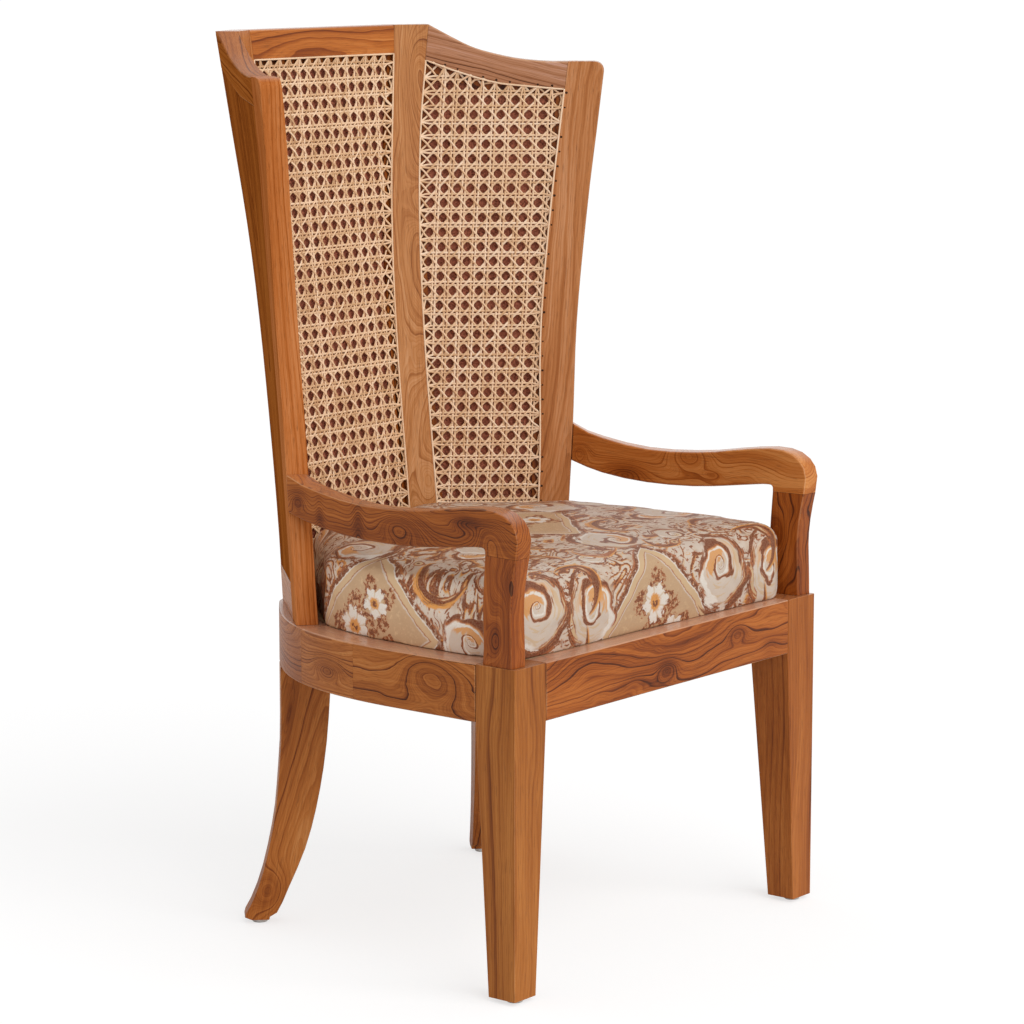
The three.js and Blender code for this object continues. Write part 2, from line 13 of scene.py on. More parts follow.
import bmesh
import bpy
import numpy as np
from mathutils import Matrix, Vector, noise
from mathutils.bvhtree import BVHTree

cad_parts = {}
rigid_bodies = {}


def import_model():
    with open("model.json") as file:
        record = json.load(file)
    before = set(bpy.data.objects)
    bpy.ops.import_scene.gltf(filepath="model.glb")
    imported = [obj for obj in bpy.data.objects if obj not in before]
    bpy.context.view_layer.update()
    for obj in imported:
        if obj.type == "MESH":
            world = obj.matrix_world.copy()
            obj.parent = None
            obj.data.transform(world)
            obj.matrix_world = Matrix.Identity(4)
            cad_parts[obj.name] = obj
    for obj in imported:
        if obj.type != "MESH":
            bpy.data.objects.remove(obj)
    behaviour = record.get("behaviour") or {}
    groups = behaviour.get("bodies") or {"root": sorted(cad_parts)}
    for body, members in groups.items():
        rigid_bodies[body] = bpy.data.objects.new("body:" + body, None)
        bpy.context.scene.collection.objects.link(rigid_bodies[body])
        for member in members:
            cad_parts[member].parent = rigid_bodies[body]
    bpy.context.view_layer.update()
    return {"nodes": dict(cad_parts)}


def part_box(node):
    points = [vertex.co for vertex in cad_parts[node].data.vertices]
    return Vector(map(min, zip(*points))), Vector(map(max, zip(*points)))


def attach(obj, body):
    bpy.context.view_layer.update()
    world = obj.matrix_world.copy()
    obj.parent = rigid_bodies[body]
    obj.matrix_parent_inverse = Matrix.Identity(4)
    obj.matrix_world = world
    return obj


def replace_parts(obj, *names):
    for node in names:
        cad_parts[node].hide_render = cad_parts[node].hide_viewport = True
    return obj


for leftover in list(bpy.data.objects):
    bpy.data.objects.remove(leftover)
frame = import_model()
nodes = frame["nodes"]

# %% [markdown]
# The camera stands where the photographer stood: well in front of the chair and to
# its side, a little above the arms, with a long lens so that the legs stay nearly
# upright. A long lens from far away keeps the proportions calm.

# %% Camera
eye = Vector((-3.48773, -2.83901, 1.26854))
eye_turn = math.radians(-51.267)
eye_pitch = math.radians(90 - 9.436)


def put(name, data):
    """A new object in the scene."""
    made = bpy.data.objects.new(name, data)
    bpy.context.scene.collection.objects.link(made)
    return made


camera_data = bpy.data.cameras.new("camera")
camera_data.sensor_width = 36
camera_data.lens = 126.05
camera = put("camera", camera_data)
camera.location = eye
camera.rotation_euler = (eye_pitch, 0, eye_turn)
bpy.context.scene.camera = camera
bpy.context.scene.view_settings.view_transform = "Standard"
print("camera", round(eye.length, 2), "m from the floor under the chair")

# %% [markdown]
# Shader maths reads best as plain sums. A small class wraps an output socket, so
# that `1 - mask * 0.5` adds the Math nodes by itself, and one method adds any other
# node. Colours go through Mix nodes instead, because a Math node keeps only their
# brightness.

# %% Shader sums
def sums(operation):
    """The two methods of an operator, for a shade on its left and for one on its right."""
    def left(self, other):
        return self.math(operation, other)

    def right(self, other):
        return self.home.add("Math", {"operation": operation}, {0: other, 1: self})
    return left, right


class Shade:
    """An output of a shader node, with arithmetic for the ones that carry a number."""

    def __init__(self, home, socket):
        self.home, self.socket = home, socket

    def math(self, operation, *others):
        return self.home.add("Math", {"operation": operation}, dict(enumerate([self, *others])))

    __add__, __radd__ = sums("ADD")
    __sub__, __rsub__ = sums("SUBTRACT")
    __mul__, __rmul__ = sums("MULTIPLY")


class Nodes:
    """A node tree, with one method that adds any node."""

    def __init__(self, tree):
        self.tree = tree

    def add(self, kind, settings=None, values=None, output=0):
        """Adds a node: its settings first, then what goes into its sockets."""
        node = self.tree.nodes.new("ShaderNode" + kind)
        for name, value in (settings or {}).items():
            if name == "stops":
                self.set_stops(node.color_ramp, value)
            else:
                setattr(node, name, value)
        for name, value in (values or {}).items():
            self.feed(node.inputs[name], value)
        return Shade(self, node.outputs[output])

    def set_stops(self, ramp, stops):
        while len(ramp.elements) < len(stops):
            ramp.elements.new(1)
        for element, (place, colour) in zip(ramp.elements, stops):
            element.position = place
            element.color = (*colour, 1)

    def feed(self, socket, value):
        if isinstance(value, Shade):
            self.tree.links.new(value.socket, socket)
        else:
            socket.default_value = value


class Finish(Nodes):
    """A material, with short names for the nodes that finishes are made of."""

    def __init__(self, name):
        self.material = bpy.data.materials.new(name)
        self.material.use_nodes = True
        super().__init__(self.material.node_tree)
        self.shader = self.tree.nodes["Principled BSDF"]

    def set(self, **values):
        """Sockets of the main shader, by name with _ for a space."""
        for name, value in values.items():
            self.feed(self.shader.inputs[name.replace("_", " ")], value)

    def place(self):
        return self.add("TexCoord", output="Object")

    def attribute(self, name, output="Fac"):
        return self.add("Attribute", {"attribute_name": name}, output=output)

    def along(self, vector, direction):
        """How far a point lies along a direction."""
        settings = {"operation": "DOT_PRODUCT"}
        return self.add("VectorMath", settings, {0: vector, 1: tuple(direction)}, output="Value")

    def parts(self, vector):
        split = self.tree.nodes.new("ShaderNodeSeparateXYZ")
        self.feed(split.inputs[0], vector)
        return [Shade(self, out) for out in split.outputs]

    def vector(self, x=0.0, y=0.0, z=0.0):
        return self.add("CombineXYZ", values={0: x, 1: y, 2: z})

    def noise(self, vector, scale=1.0, detail=2.0, roughness=0.5, distortion=0.0):
        values = {
            "Vector": vector, "Scale": scale, "Detail": detail,
            "Roughness": roughness, "Distortion": distortion,
        }
        return self.add("TexNoise", values=values)

    def step(self, value, low, high, start=0.0, end=1.0):
        """A soft step of a number between two levels."""
        settings = {"interpolation_type": "SMOOTHSTEP"}
        return self.add("MapRange", settings, {0: value, 1: low, 2: high, 3: start, 4: end})

    def mix(self, share, first, second, blend="MIX"):
        settings = {"data_type": "RGBA", "blend_type": blend}
        colour = [c if isinstance(c, Shade) else (*c, 1) for c in (first, second)]
        return self.add("Mix", settings, {0: share, 6: colour[0], 7: colour[1]}, output=2)

    def ramp(self, stops, value):
        """A colour for a number, between stops."""
        return self.add("ValToRGB", {"stops": stops}, {0: value})

    def wrap(self, value, period):
        """How far a number lies from the nearest whole period."""
        return ((value * (1 / period) + 0.5).math("FRACT") - 0.5) * period

    def relief(self, height, depth, strength=1.0):
        values = {"Height": height, "Distance": depth, "Strength": strength}
        return self.add("Bump", values=values, output="Normal")


print("shader sums ready")

# %% [markdown]
# The studio is a wide pale floor under an even white sky. The camera and mirror-like
# reflections see the sky at full white, while the chair is lit by a dimmer one, so
# that its colours don't wash out. One very soft lamp from the front and the right
# gives the front faces more light than the side, as in the photograph.

# %% Studio
sky_level = 0.60
lamp_level = 1.85
lamp_softness = math.radians(60)
lamp_direction = Vector((0.13, 1.0, -0.72))
floor_reach = 90.0
floor_white = 0.82
floor_seen = 0.40
floor_lift = 0.66

world = bpy.data.worlds.new("studio")
world.use_nodes = True
bpy.context.scene.world = world
heaven = Nodes(world.node_tree)
heaven.tree.nodes.clear()
bright = heaven.add("LightPath", output="Is Camera Ray")
for ray in ("Is Glossy Ray", "Is Transmission Ray"):
    bright = bright.math("MAXIMUM", heaven.add("LightPath", output=ray))
skies = {0: bright}
for slot, level in ((1, sky_level), (2, 1.0)):
    skies[slot] = heaven.add("Background", values={"Color": (1, 1, 1, 1), "Strength": level})
sky_output = heaven.tree.nodes.new("ShaderNodeOutputWorld")
heaven.feed(sky_output.inputs["Surface"], heaven.add("MixShader", values=skies))

lamp_data = bpy.data.lights.new("soft_lamp", "SUN")
lamp_data.energy = lamp_level
lamp_data.angle = lamp_softness
lamp = put("soft_lamp", lamp_data)
lamp.rotation_euler = lamp_direction.to_track_quat("-Z", "Y").to_euler()

floor_mesh = bpy.data.meshes.new("floor")
corners = [(-1, -1), (1, -1), (1, 1), (-1, 1)]
floor_mesh.from_pydata([(x * floor_reach, y * floor_reach, 0) for x, y in corners], [], [(0, 1, 2, 3)])
floor = put("floor", floor_mesh)
paint = Finish("pale_floor")
eye_ray = paint.add("LightPath", output="Is Camera Ray")
paint.set(
    Base_Color=paint.mix(eye_ray, (floor_white,) * 3, (floor_seen,) * 3),
    Roughness=0.9,
    Specular_IOR_Level=0.0,
    Emission_Color=paint.mix(eye_ray, (0, 0, 0), (floor_lift,) * 3),
    Emission_Strength=1.0,
)
floor_mesh.materials.append(paint.material)
print("studio ready")

# %% [markdown]
# The wood is teak, oiled to a satin. A real board is cut from a trunk, so its lines
# are the trunk's growth rings, seen where the saw passed through them. The finish
# does the same: it measures each point's distance from a bent axis behind the board,
# turns it into rings, and darkens each ring's late wood. Fine fibres run the length
# of the board. Each piece has its own axis, so no two boards repeat.

# %% Teak
teak_stops = [
    (0.00, (0.060, 0.013, 0.002)),
    (0.22, (0.185, 0.042, 0.006)),
    (0.45, (0.330, 0.092, 0.014)),
    (0.68, (0.455, 0.150, 0.030)),
    (1.00, (0.620, 0.270, 0.085)),
]
# The tint of the eased arrises: wear and a painted highlight.
arris_wear_and_highlight_tint = (0.68, 0.38, 0.20)
# The tint that faces looking up are painted towards: a painted reflection of the light from above.
painted_top_reflection_tint = (0.78, 0.47, 0.32)
pit_tint = (0.12, 0.035, 0.010)


def teak(name, centre, grain, face, heart=0.05, shift=0.045, width=0.0055, wander=0.012, lean=0.0, tone=0.0,
         burl=0.0, seed=0.0, contrast=1.0, tint=(1.0, 1.0, 1.0), knots=(), gloss=0.17, painted_top_reflection=0.10):
    """Teak cut with its length along grain and its broad side facing face.

    The trunk's middle lies heart behind the board and shift to its side, so shift decides how much the
    lines run along the board and heart how much they arch. A knot is its place along and across the
    board, its reach along and across, its strength and its darkness. Faces that look up are painted
    paler, as a painted reflection of the light from above.
    """
    wood = Finish(name)
    grain = Vector(grain).normalized()
    face = (Vector(face) - grain * grain.dot(Vector(face))).normalized()
    side = grain.cross(face)
    place = wood.place()
    length = wood.along(place, grain) - centre.dot(grain)
    out = wood.along(place, face) - centre.dot(face)
    across = wood.along(place, side) - centre.dot(side)
    bend = wood.noise(wood.vector(across * 8, out * 8, length * 2.4 + seed), detail=1)
    ripple = wood.noise(wood.vector(across * 38, out * 38, length * 10 + seed), detail=2)
    drift = (bend - 0.5) * (wander * 5) + (ripple - 0.5) * (wander * 0.6)
    if burl:
        swirl = wood.noise(wood.vector(across * 16, out * 16, length * 12 + seed * 3), detail=1.5)
        drift = drift + (swirl - 0.5) * burl
    murk = 0.0
    for at_length, at_across, long_reach, cross_reach, strength, dark in knots:
        x = (length - at_length) * (1 / long_reach)
        y = (across - at_across) * (1 / cross_reach)
        bump = (0 - (x * x + y * y)).math("EXPONENT")
        drift = drift + bump * strength
        murk = bump * dark + murk
    far = out + heart + length * lean
    aside = across + shift
    age = ((far * far + aside * aside).math("SQRT") + drift) * (1 / width) + seed * 7
    share = age.math("FRACT")
    year = wood.add("TexWhiteNoise", {"noise_dimensions": "1D"}, {"W": age.math("FLOOR")})
    late = wood.step(share, 0.50, 0.95) * (1 - wood.step(share, 0.95, 1.0))
    fine = (age * 3.3 + ripple * 0.8).math("FRACT")
    fibre = wood.noise(wood.vector(across * 600, out * 600, length * 8 + seed), detail=3, roughness=0.6)
    pores = wood.noise(wood.vector(across * 1250, out * 1250, length * 45 + seed), detail=1)
    cloud = wood.noise(wood.vector(across * 24, out * 24, length * 3.0 + seed * 2), detail=2)
    bands = wood.noise(wood.vector(age * 0.8, length * 2.5, seed), detail=2)
    shade = (
        0.62 + tone
        - late * (year * year * 0.50 + 0.05) * contrast
        - wood.step(fine, 0.35, 1.0) * (0.10 * contrast)
        + (bands - 0.5) * (0.55 * contrast)
        + (cloud - 0.5) * 0.55
        + (fibre - 0.5) * 0.42
        - murk
    )
    colour = wood.ramp(teak_stops, shade)
    colour = wood.mix(1.0, colour, tint, "MULTIPLY")
    # Paler along the eased arrises: partly wear, partly a painted highlight.
    arris_wear_and_highlight = wood.attribute("arris") * wood.step(cloud, 0.42, 0.62, 0.06, 0.38)
    colour = wood.mix(arris_wear_and_highlight, colour, arris_wear_and_highlight_tint)
    pits = wood.step(pores, 0.60, 0.70)
    # Faces that look up are smoother and coated, and their colour is lightened as a painted reflection of
    # the light from above.
    height = wood.parts(wood.add("NewGeometry", output="Normal"))[2]
    top_polish_and_reflection = wood.step(height, 0.55, 0.95)
    colour = wood.mix(top_polish_and_reflection * (0.6 + fibre * 0.8) * painted_top_reflection, colour, painted_top_reflection_tint)
    wood.set(
        Base_Color=wood.mix(pits * 0.42, colour, pit_tint),
        Roughness=0.36 + (fibre - 0.5) * 0.16 + pits * 0.18 + late * 0.05 - top_polish_and_reflection * 0.16,
        Normal=wood.relief(fibre * 0.5 - pits * 0.5, 0.00014, 0.55),
        Coat_Weight=top_polish_and_reflection * 0.5,
        Coat_Roughness=0.36,
        Specular_IOR_Level=gloss,
    )
    return wood


print("teak ready")

# %% [markdown]
# A board in the frame is a sharp solid. On the real chair every arris was eased with
# a sheet of abrasive, and the eased edge catches the light and wears pale. So each
# board is copied, its flat faces are joined up, its sharp edges are rounded over by
# about a millimetre, and the round-over is marked for the finish to lighten, as wear
# and as a painted highlight.

# %% Boards with eased arrises
arris_round = 0.0011
same_point = 1e-5
arris_angle = math.radians(33)
joint_gap = 0.0008
flat_angle = math.radians(0.4)
smooth_angle = math.radians(38)


def dress(mesh, material):
    """Gives a mesh one finish in place of those that it had."""
    mesh.materials.clear()
    mesh.materials.append(material)


def new_piece(name, mesh, material):
    """An object that rides on the chair and takes its finish from a slot."""
    dress(mesh, material)
    piece = put(name, mesh)
    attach(piece, "root")
    return piece


def soften(mesh, angle=smooth_angle):
    """Smooth shading that stays sharp where faces meet at more than an angle."""
    mesh.polygons.foreach_set("use_smooth", [True] * len(mesh.polygons))
    mesh.set_sharp_from_angle(angle=angle)


def solid(name, points, faces, merge=0.0):
    """A mesh whose faces all look outwards. Points nearer to each other than merge become one."""
    mesh = bpy.data.meshes.new(name)
    mesh.from_pydata(points, [], faces)
    shape = bmesh.new()
    shape.from_mesh(mesh)
    if merge:
        bmesh.ops.remove_doubles(shape, verts=shape.verts, dist=merge)
    bmesh.ops.recalc_face_normals(shape, faces=shape.faces)
    shape.to_mesh(mesh)
    shape.free()
    return mesh


def points_of(mesh):
    return np.array([v.co for v in mesh.vertices])


def pairs_round(row):
    """Each item of a list with the next one, and the last with the first."""
    return zip(row, row[1:] + row[:1])


def spread(node):
    """The directions in which a solid reaches furthest and least, each pointing to a plus side."""
    points = points_of(nodes[node].data)
    axes = np.linalg.svd(points - points.mean(0), full_matrices=False)[2]
    long = axes[0] * np.sign(axes[0][np.argmax(abs(axes[0]))])
    thin = axes[2] * np.sign(axes[2][np.argmax(abs(axes[2]))])
    return Vector(long), Vector(thin)


def joint_finder(names):
    """A test for whether a point of one board lies against another."""
    points, faces, owners = [], [], []
    for name in names:
        mesh = nodes[name].data
        start = len(points)
        points += [v.co for v in mesh.vertices]
        faces += [[start + i for i in f.vertices] for f in mesh.polygons]
        owners += [name] * len(mesh.polygons)
    tree = BVHTree.FromPolygons(points, faces)

    def touches(name, point):
        return any(owners[hit[2]] != name for hit in tree.find_nearest_range(point, joint_gap))
    return touches


def board(node, touches, **figure):
    """A board of the frame, eased and finished in teak. Edges inside a joint stay sharp."""
    shape = bmesh.new()
    shape.from_mesh(nodes[node].data)
    bmesh.ops.remove_doubles(shape, verts=shape.verts, dist=same_point)
    bmesh.ops.dissolve_limit(shape, angle_limit=flat_angle, verts=shape.verts, edges=shape.edges)
    # Marks the round-over, which the finish paints paler as wear and as a painted highlight.
    arris_wear_and_highlight = shape.faces.layers.float.new("arris")
    sharp = []
    for edge in shape.edges:
        if not edge.is_manifold or edge.calc_face_angle() < arris_angle:
            continue
        a, b = (v.co for v in edge.verts)
        if not all(touches(node, a.lerp(b, share)) for share in (0.2, 0.5, 0.8)):
            sharp.append(edge)
    made = bmesh.ops.bevel(
        shape, geom=sharp, offset=arris_round, segments=2, profile=0.5, affect="EDGES", clamp_overlap=True,
    )
    for face in made["faces"]:
        face[arris_wear_and_highlight] = 1.0
    mesh = bpy.data.meshes.new(node + "_eased")
    shape.to_mesh(mesh)
    shape.free()
    soften(mesh)
    long, thin = spread(node)
    figure.setdefault("grain", long)
    figure.setdefault("face", thin)
    low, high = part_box(node)
    wood = teak("teak_" + node, (low + high) / 2, **figure)
    piece = new_piece(node + "_eased", mesh, wood.material)
    even = piece.modifiers.new("even_shading", "WEIGHTED_NORMAL")
    even.keep_sharp = True
    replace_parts(piece, node)
    return len(sharp)


upright = (0, 0, 1)
sideways = (1, 0, 0)
forward = (0, 1, 0)
golden = (1.0, 1.10, 1.15)
pale = (1.0, 1.24, 1.90)
rosy = (1.0, 1.45, 4.0)
orange = (1.02, 0.93, 0.80)
deep = (1.0, 0.88, 0.75)
# Each board's tone and tint were set to how it looks on the chair, so besides the wood's own variation they
# carry some painted light and shade.
boards = {
    "front_leg_right": dict(
        grain=upright, face=(0.5, -1, 0), heart=0.33, shift=0.0, seed=1.3, wander=0.006, width=0.008,
        contrast=0.7, tone=-0.10,
    ),
    "front_leg_left": dict(
        grain=upright, face=(-0.6, -1, 0), heart=0.33, shift=0.0, seed=2.1, wander=0.010, width=0.0085,
        contrast=0.85, tone=-0.05, tint=golden,
    ),
    "rear_leg_right": dict(heart=0.1, seed=3.7, tone=-0.06),
    "rear_leg_left": dict(
        heart=0.05, shift=0.035, seed=4.2, lean=0.10, contrast=0.9, width=0.006, tone=0.02,
        knots=[(-0.158, -0.007, 0.027, 0.018, 0.034, 0.20), (0.060, 0.011, 0.085, 0.010, 0.016, 0.26)],
    ),
    "front_rail": dict(
        grain=sideways, face=(0, -1, 0), heart=0.03, shift=0.06, seed=5.1, wander=0.018,
        painted_top_reflection=0.55, tone=-0.13, width=0.0048, contrast=1.35, burl=0.012, tint=orange,
        knots=[(-0.010, 0.011, 0.022, 0.013, 0.026, 0.30), (0.137, -0.010, 0.020, 0.011, 0.018, 0.20),
               (0.210, 0.018, 0.020, 0.012, 0.008, 0.16), (-0.067, 0.016, 0.045, 0.012, 0.010, 0.12),
               (-0.17, -0.02, 0.06, 0.02, 0.014, 0.05)],
    ),
    "side_rail_right": dict(painted_top_reflection=0.5, seed=6.4),
    "side_rail_left": dict(
        heart=0.03, seed=7.7, painted_top_reflection=0.5, tone=-0.05, width=0.005, contrast=1.25, wander=0.020,
        burl=0.018,
        knots=[(-0.030, -0.012, 0.046, 0.030, 0.044, 0.12)],
    ),
    "side_bend_right": dict(painted_top_reflection=0.5, seed=8.9, knots=[(0.0, 0.0, 0.03, 0.018, 0.02, 0.1)]),
    "side_bend_left": dict(
        seed=9.2, width=0.0042, painted_top_reflection=0.5, tone=0.02,
        knots=[(-0.008, 0.005, 0.027, 0.013, 0.036, 0.22)],
    ),
    "rear_corner_right": dict(painted_top_reflection=0.4, seed=10.5),
    "rear_corner_left": dict(painted_top_reflection=0.4, seed=11.8, tone=-0.06),
    "rear_rail": dict(grain=sideways, face=forward, seed=12.3),
    "corner_block_right": dict(seed=13.1),
    "corner_block_left": dict(seed=13.9),
    "arm_post_right": dict(
        grain=upright, face=sideways, seed=14.6, tone=-0.24, burl=0.035, tint=deep, width=0.0042,
        knots=[(0.01, 0.012, 0.020, 0.010, 0.02, 0.10)],
    ),
    "arm_post_left": dict(
        grain=upright, face=sideways, seed=15.4, tone=-0.12, burl=0.045, tint=deep, width=0.0042,
        contrast=1.2,
        knots=[(0.004, -0.007, 0.030, 0.012, 0.016, 0.05), (-0.033, 0.002, 0.020, 0.014, 0.024, 0.12)],
    ),
    "arm_right": dict(
        face=sideways, heart=0.03, seed=16.2, tone=0.20, burl=0.020, width=0.0040, tint=orange,
        contrast=1.2,
        knots=[(-0.011, -0.012, 0.036, 0.024, 0.046, 0.08), (0.084, 0.024, 0.034, 0.013, 0.020, 0.44),
               (-0.050, 0.014, 0.013, 0.006, 0.010, 0.26), (-0.106, -0.003, 0.034, 0.016, 0.010, 0.10),
               (0.161, 0.004, 0.014, 0.012, 0.030, 0.16)],
    ),
    "arm_left": dict(
        face=sideways, heart=0.03, seed=17.5, tone=-0.07, burl=0.025, width=0.0040, contrast=1.2,
        tint=(1.0, 0.93, 0.80),
        knots=[(-0.002, 0.010, 0.036, 0.020, 0.028, 0.10), (-0.112, -0.009, 0.026, 0.009, 0.020, 0.32),
               (0.069, 0.012, 0.009, 0.030, 0.012, 0.24), (0.135, 0.018, 0.007, 0.030, 0.010, 0.20),
               (0.172, -0.002, 0.014, 0.012, 0.020, 0.36), (-0.149, 0.006, 0.022, 0.020, 0.030, 0.05)],
    ),
    "back_post_right": dict(
        heart=0.05, shift=0.03, seed=18.3, tone=0.07, wander=0.026, lean=0.05, width=0.0055,
        contrast=0.95, tint=pale,
        knots=[(0.13, 0.0, 0.045, 0.020, 0.035, 0.05), (-0.07, 0.004, 0.05, 0.02, 0.03, 0.04),
               (0.29, 0.0, 0.06, 0.02, -0.04, 0.0), (-0.25, 0.0, 0.04, 0.02, 0.03, 0.0)],
    ),
    "back_post_left": dict(seed=19.6, tone=0.02, wander=0.016),
    "back_top_rail": dict(
        grain=sideways, seed=20.4, tone=0.03, width=0.0055, contrast=0.8, tint=orange,
    ),
    "back_bottom_rail": dict(grain=sideways, seed=21.8),
    "wing_top_rail_right": dict(seed=22.2, tone=0.0, width=0.0045, contrast=1.1, tint=rosy),
    "wing_top_rail_left": dict(seed=23.9, tone=-0.10, width=0.0055, gloss=0.0),
    "wing_bottom_rail_right": dict(seed=24.4),
    "wing_bottom_rail_left": dict(seed=25.1),
    "wing_stile_right": dict(
        heart=0.08, shift=0.02, seed=26.7, tone=0.06, wander=0.008, lean=0.02, width=0.0055,
        tint=(1.0, 1.16, 1.85),
    ),
    "wing_stile_left": dict(
        heart=0.12, seed=27.3, tone=0.17, wander=0.006, contrast=0.7, width=0.0055,
        tint=(1.0, 0.92, 1.10), gloss=0.0,
    ),
}
touches = joint_finder(boards)
eased = sum(board(name, touches, **figure) for name, figure in boards.items())
print(len(boards), "boards finished,", eased, "edges eased")

# %% [markdown]
# Behind each caned panel stands a thin board, which shows as dark red-brown through
# the weave and closes the outside of the chair. It keeps its shape from the frame
# and gets a plainer, darker wood. The seat board under the cushion is plywood, and
# the chair stands on four little moulded glides.

# %% Backing, seat board and glides
figure_origin = Vector((0, 0, 0.8))
glide_rim = 0.0016
glide_hollow = 0.0004
glide_foot = 0.55


def backing_wood(name, inside, seed):
    """Teak outside, and a dark red-brown stain on the side behind the cane."""
    wood = teak(name, figure_origin, upright, inside, heart=0.30, seed=seed, tone=-0.16, contrast=0.7,
                wander=0.008, gloss=0.0)
    face = wood.add("NewGeometry", output="Normal")
    behind = wood.step(wood.along(face, Vector(inside).normalized()), 0.0, 0.5)
    place = wood.place()
    line = wood.noise(wood.vector(*[c * k for c, k in zip(wood.parts(place), (60, 60, 3))]), detail=3)
    stain = wood.mix(line, (0.20, 0.052, 0.017), (0.42, 0.135, 0.050))
    outside = wood.shader.inputs["Base Color"].links[0].from_socket
    wood.set(Base_Color=wood.mix(behind, Shade(wood, outside), stain))
    return wood.material


def plywood(name):
    """Pale plies, seen from under the seat."""
    wood = Finish(name)
    x, y, z = wood.parts(wood.place())
    line = wood.noise(wood.vector(x * 3, y * 90, z * 90), detail=4)
    ply = (z * 520).math("PINGPONG", 1)
    stops = [(0.2, (0.30, 0.17, 0.075)), (0.55, (0.52, 0.35, 0.19)), (0.9, (0.64, 0.47, 0.29))]
    wood.set(
        Base_Color=wood.ramp(stops, line * 0.8 + ply * 0.25),
        Roughness=0.6 + (line - 0.5) * 0.2,
        Normal=wood.relief(line, 0.0003, 0.4),
    )
    return wood.material


def moulded(name):
    """Off-white nylon, scuffed underneath."""
    plastic = Finish(name)
    place = plastic.place()
    height = plastic.parts(place)[2]
    scuff = plastic.noise(place, scale=420, detail=3)
    grime = plastic.step(height, 0.0, 0.004, 1.0, 0.0) * scuff
    plastic.set(
        Base_Color=plastic.mix(grime * 0.6, (0.68, 0.67, 0.64), (0.25, 0.22, 0.19)),
        Roughness=0.42 + scuff * 0.2,
        Normal=plastic.relief(scuff, 0.0001, 0.5),
    )
    return plastic.material


insides = {
    "back_backing": (0, -1, 0),
    "wing_backing_right": (-0.66, -0.75, 0),
    "wing_backing_left": (0.66, -0.75, 0),
}
for number, (node, inside) in enumerate(insides.items()):
    dress(nodes[node].data, backing_wood("teak_" + node, inside, 31.0 + number * 4))
dress(nodes["seat_board"].data, plywood("plywood"))


def turned_glide(node, sides=40):
    """A glide with a rounded rim, turned round its middle."""
    low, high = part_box(node)
    centre = (low + high) / 2
    radius = (high.x - low.x) / 2
    tall = high.z - low.z
    rim = glide_rim
    quarter = [i * math.pi / 8 for i in range(5)]
    profile = [(0, glide_hollow), (radius * glide_foot, 0.0)]
    profile += [(radius - rim + rim * math.sin(a), rim - rim * math.cos(a)) for a in quarter]
    profile += [(radius, tall), (0, tall)]
    points, faces = [], []
    count = len(profile)
    for i in range(sides):
        x, y = math.cos(2 * math.pi * i / sides), math.sin(2 * math.pi * i / sides)
        points += [(centre.x + r * x, centre.y + r * y, low.z + h) for r, h in profile]
        a, b = i * count, (i + 1) % sides * count
        faces += [(a + j, b + j, b + j + 1, a + j + 1) for j in range(count - 1)]
    mesh = solid(node + "_turned", points, faces, merge=1e-6)
    soften(mesh)
    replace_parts(new_piece(node + "_turned", mesh, moulded("nylon_" + node)), node)


for node in ("front_glide_right", "front_glide_left", "rear_glide_right", "rear_glide_left"):
    turned_glide(node)
print("backing, seat board and four glides finished")

# %% [markdown]
# The cane is woven by hand through holes in the frame: pairs of uprights, pairs of
# level strands, and two sets of diagonals that cross half-way between them and cut
# the corners off the open squares. Drawing it as a picture would leave it flat in
# every other view, so each strand is a real ribbon that passes over and under its
# neighbours. First the panel's edges are read from the boards round it.

# %% Edges of a panel
opening_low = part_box("back_bottom_rail")[1].z
level_count = 60
edge_clear = 0.001
stile_round = 0.03
rail_front = 0.002
rail_step = 0.004
crest_rounds = 5


def slice_points(node, z):
    """Where the edges of a solid cross a level."""
    mesh = nodes[node].data
    points = points_of(mesh)
    ends = points[np.array([tuple(e.vertices) for e in mesh.edges])]
    low, high = ends[:, 0], ends[:, 1]
    crosses = ((low[:, 2] - z) * (high[:, 2] - z) <= 0) & (abs(low[:, 2] - high[:, 2]) > 1e-9)
    low, high = low[crosses], high[crosses]
    share = ((z - low[:, 2]) / (high[:, 2] - low[:, 2]))[:, None]
    return (low + (high - low) * share)[:, :2]


def furthest(node, z, direction):
    """The corner of a slice that lies furthest in a direction."""
    points = slice_points(node, z)
    return points[np.argmax(points @ np.array(direction))]


def edge_line(node, levels, direction):
    """The upright edge of a solid on the side of a direction, as one place for each level."""
    return np.array([furthest(node, z, direction) for z in levels])


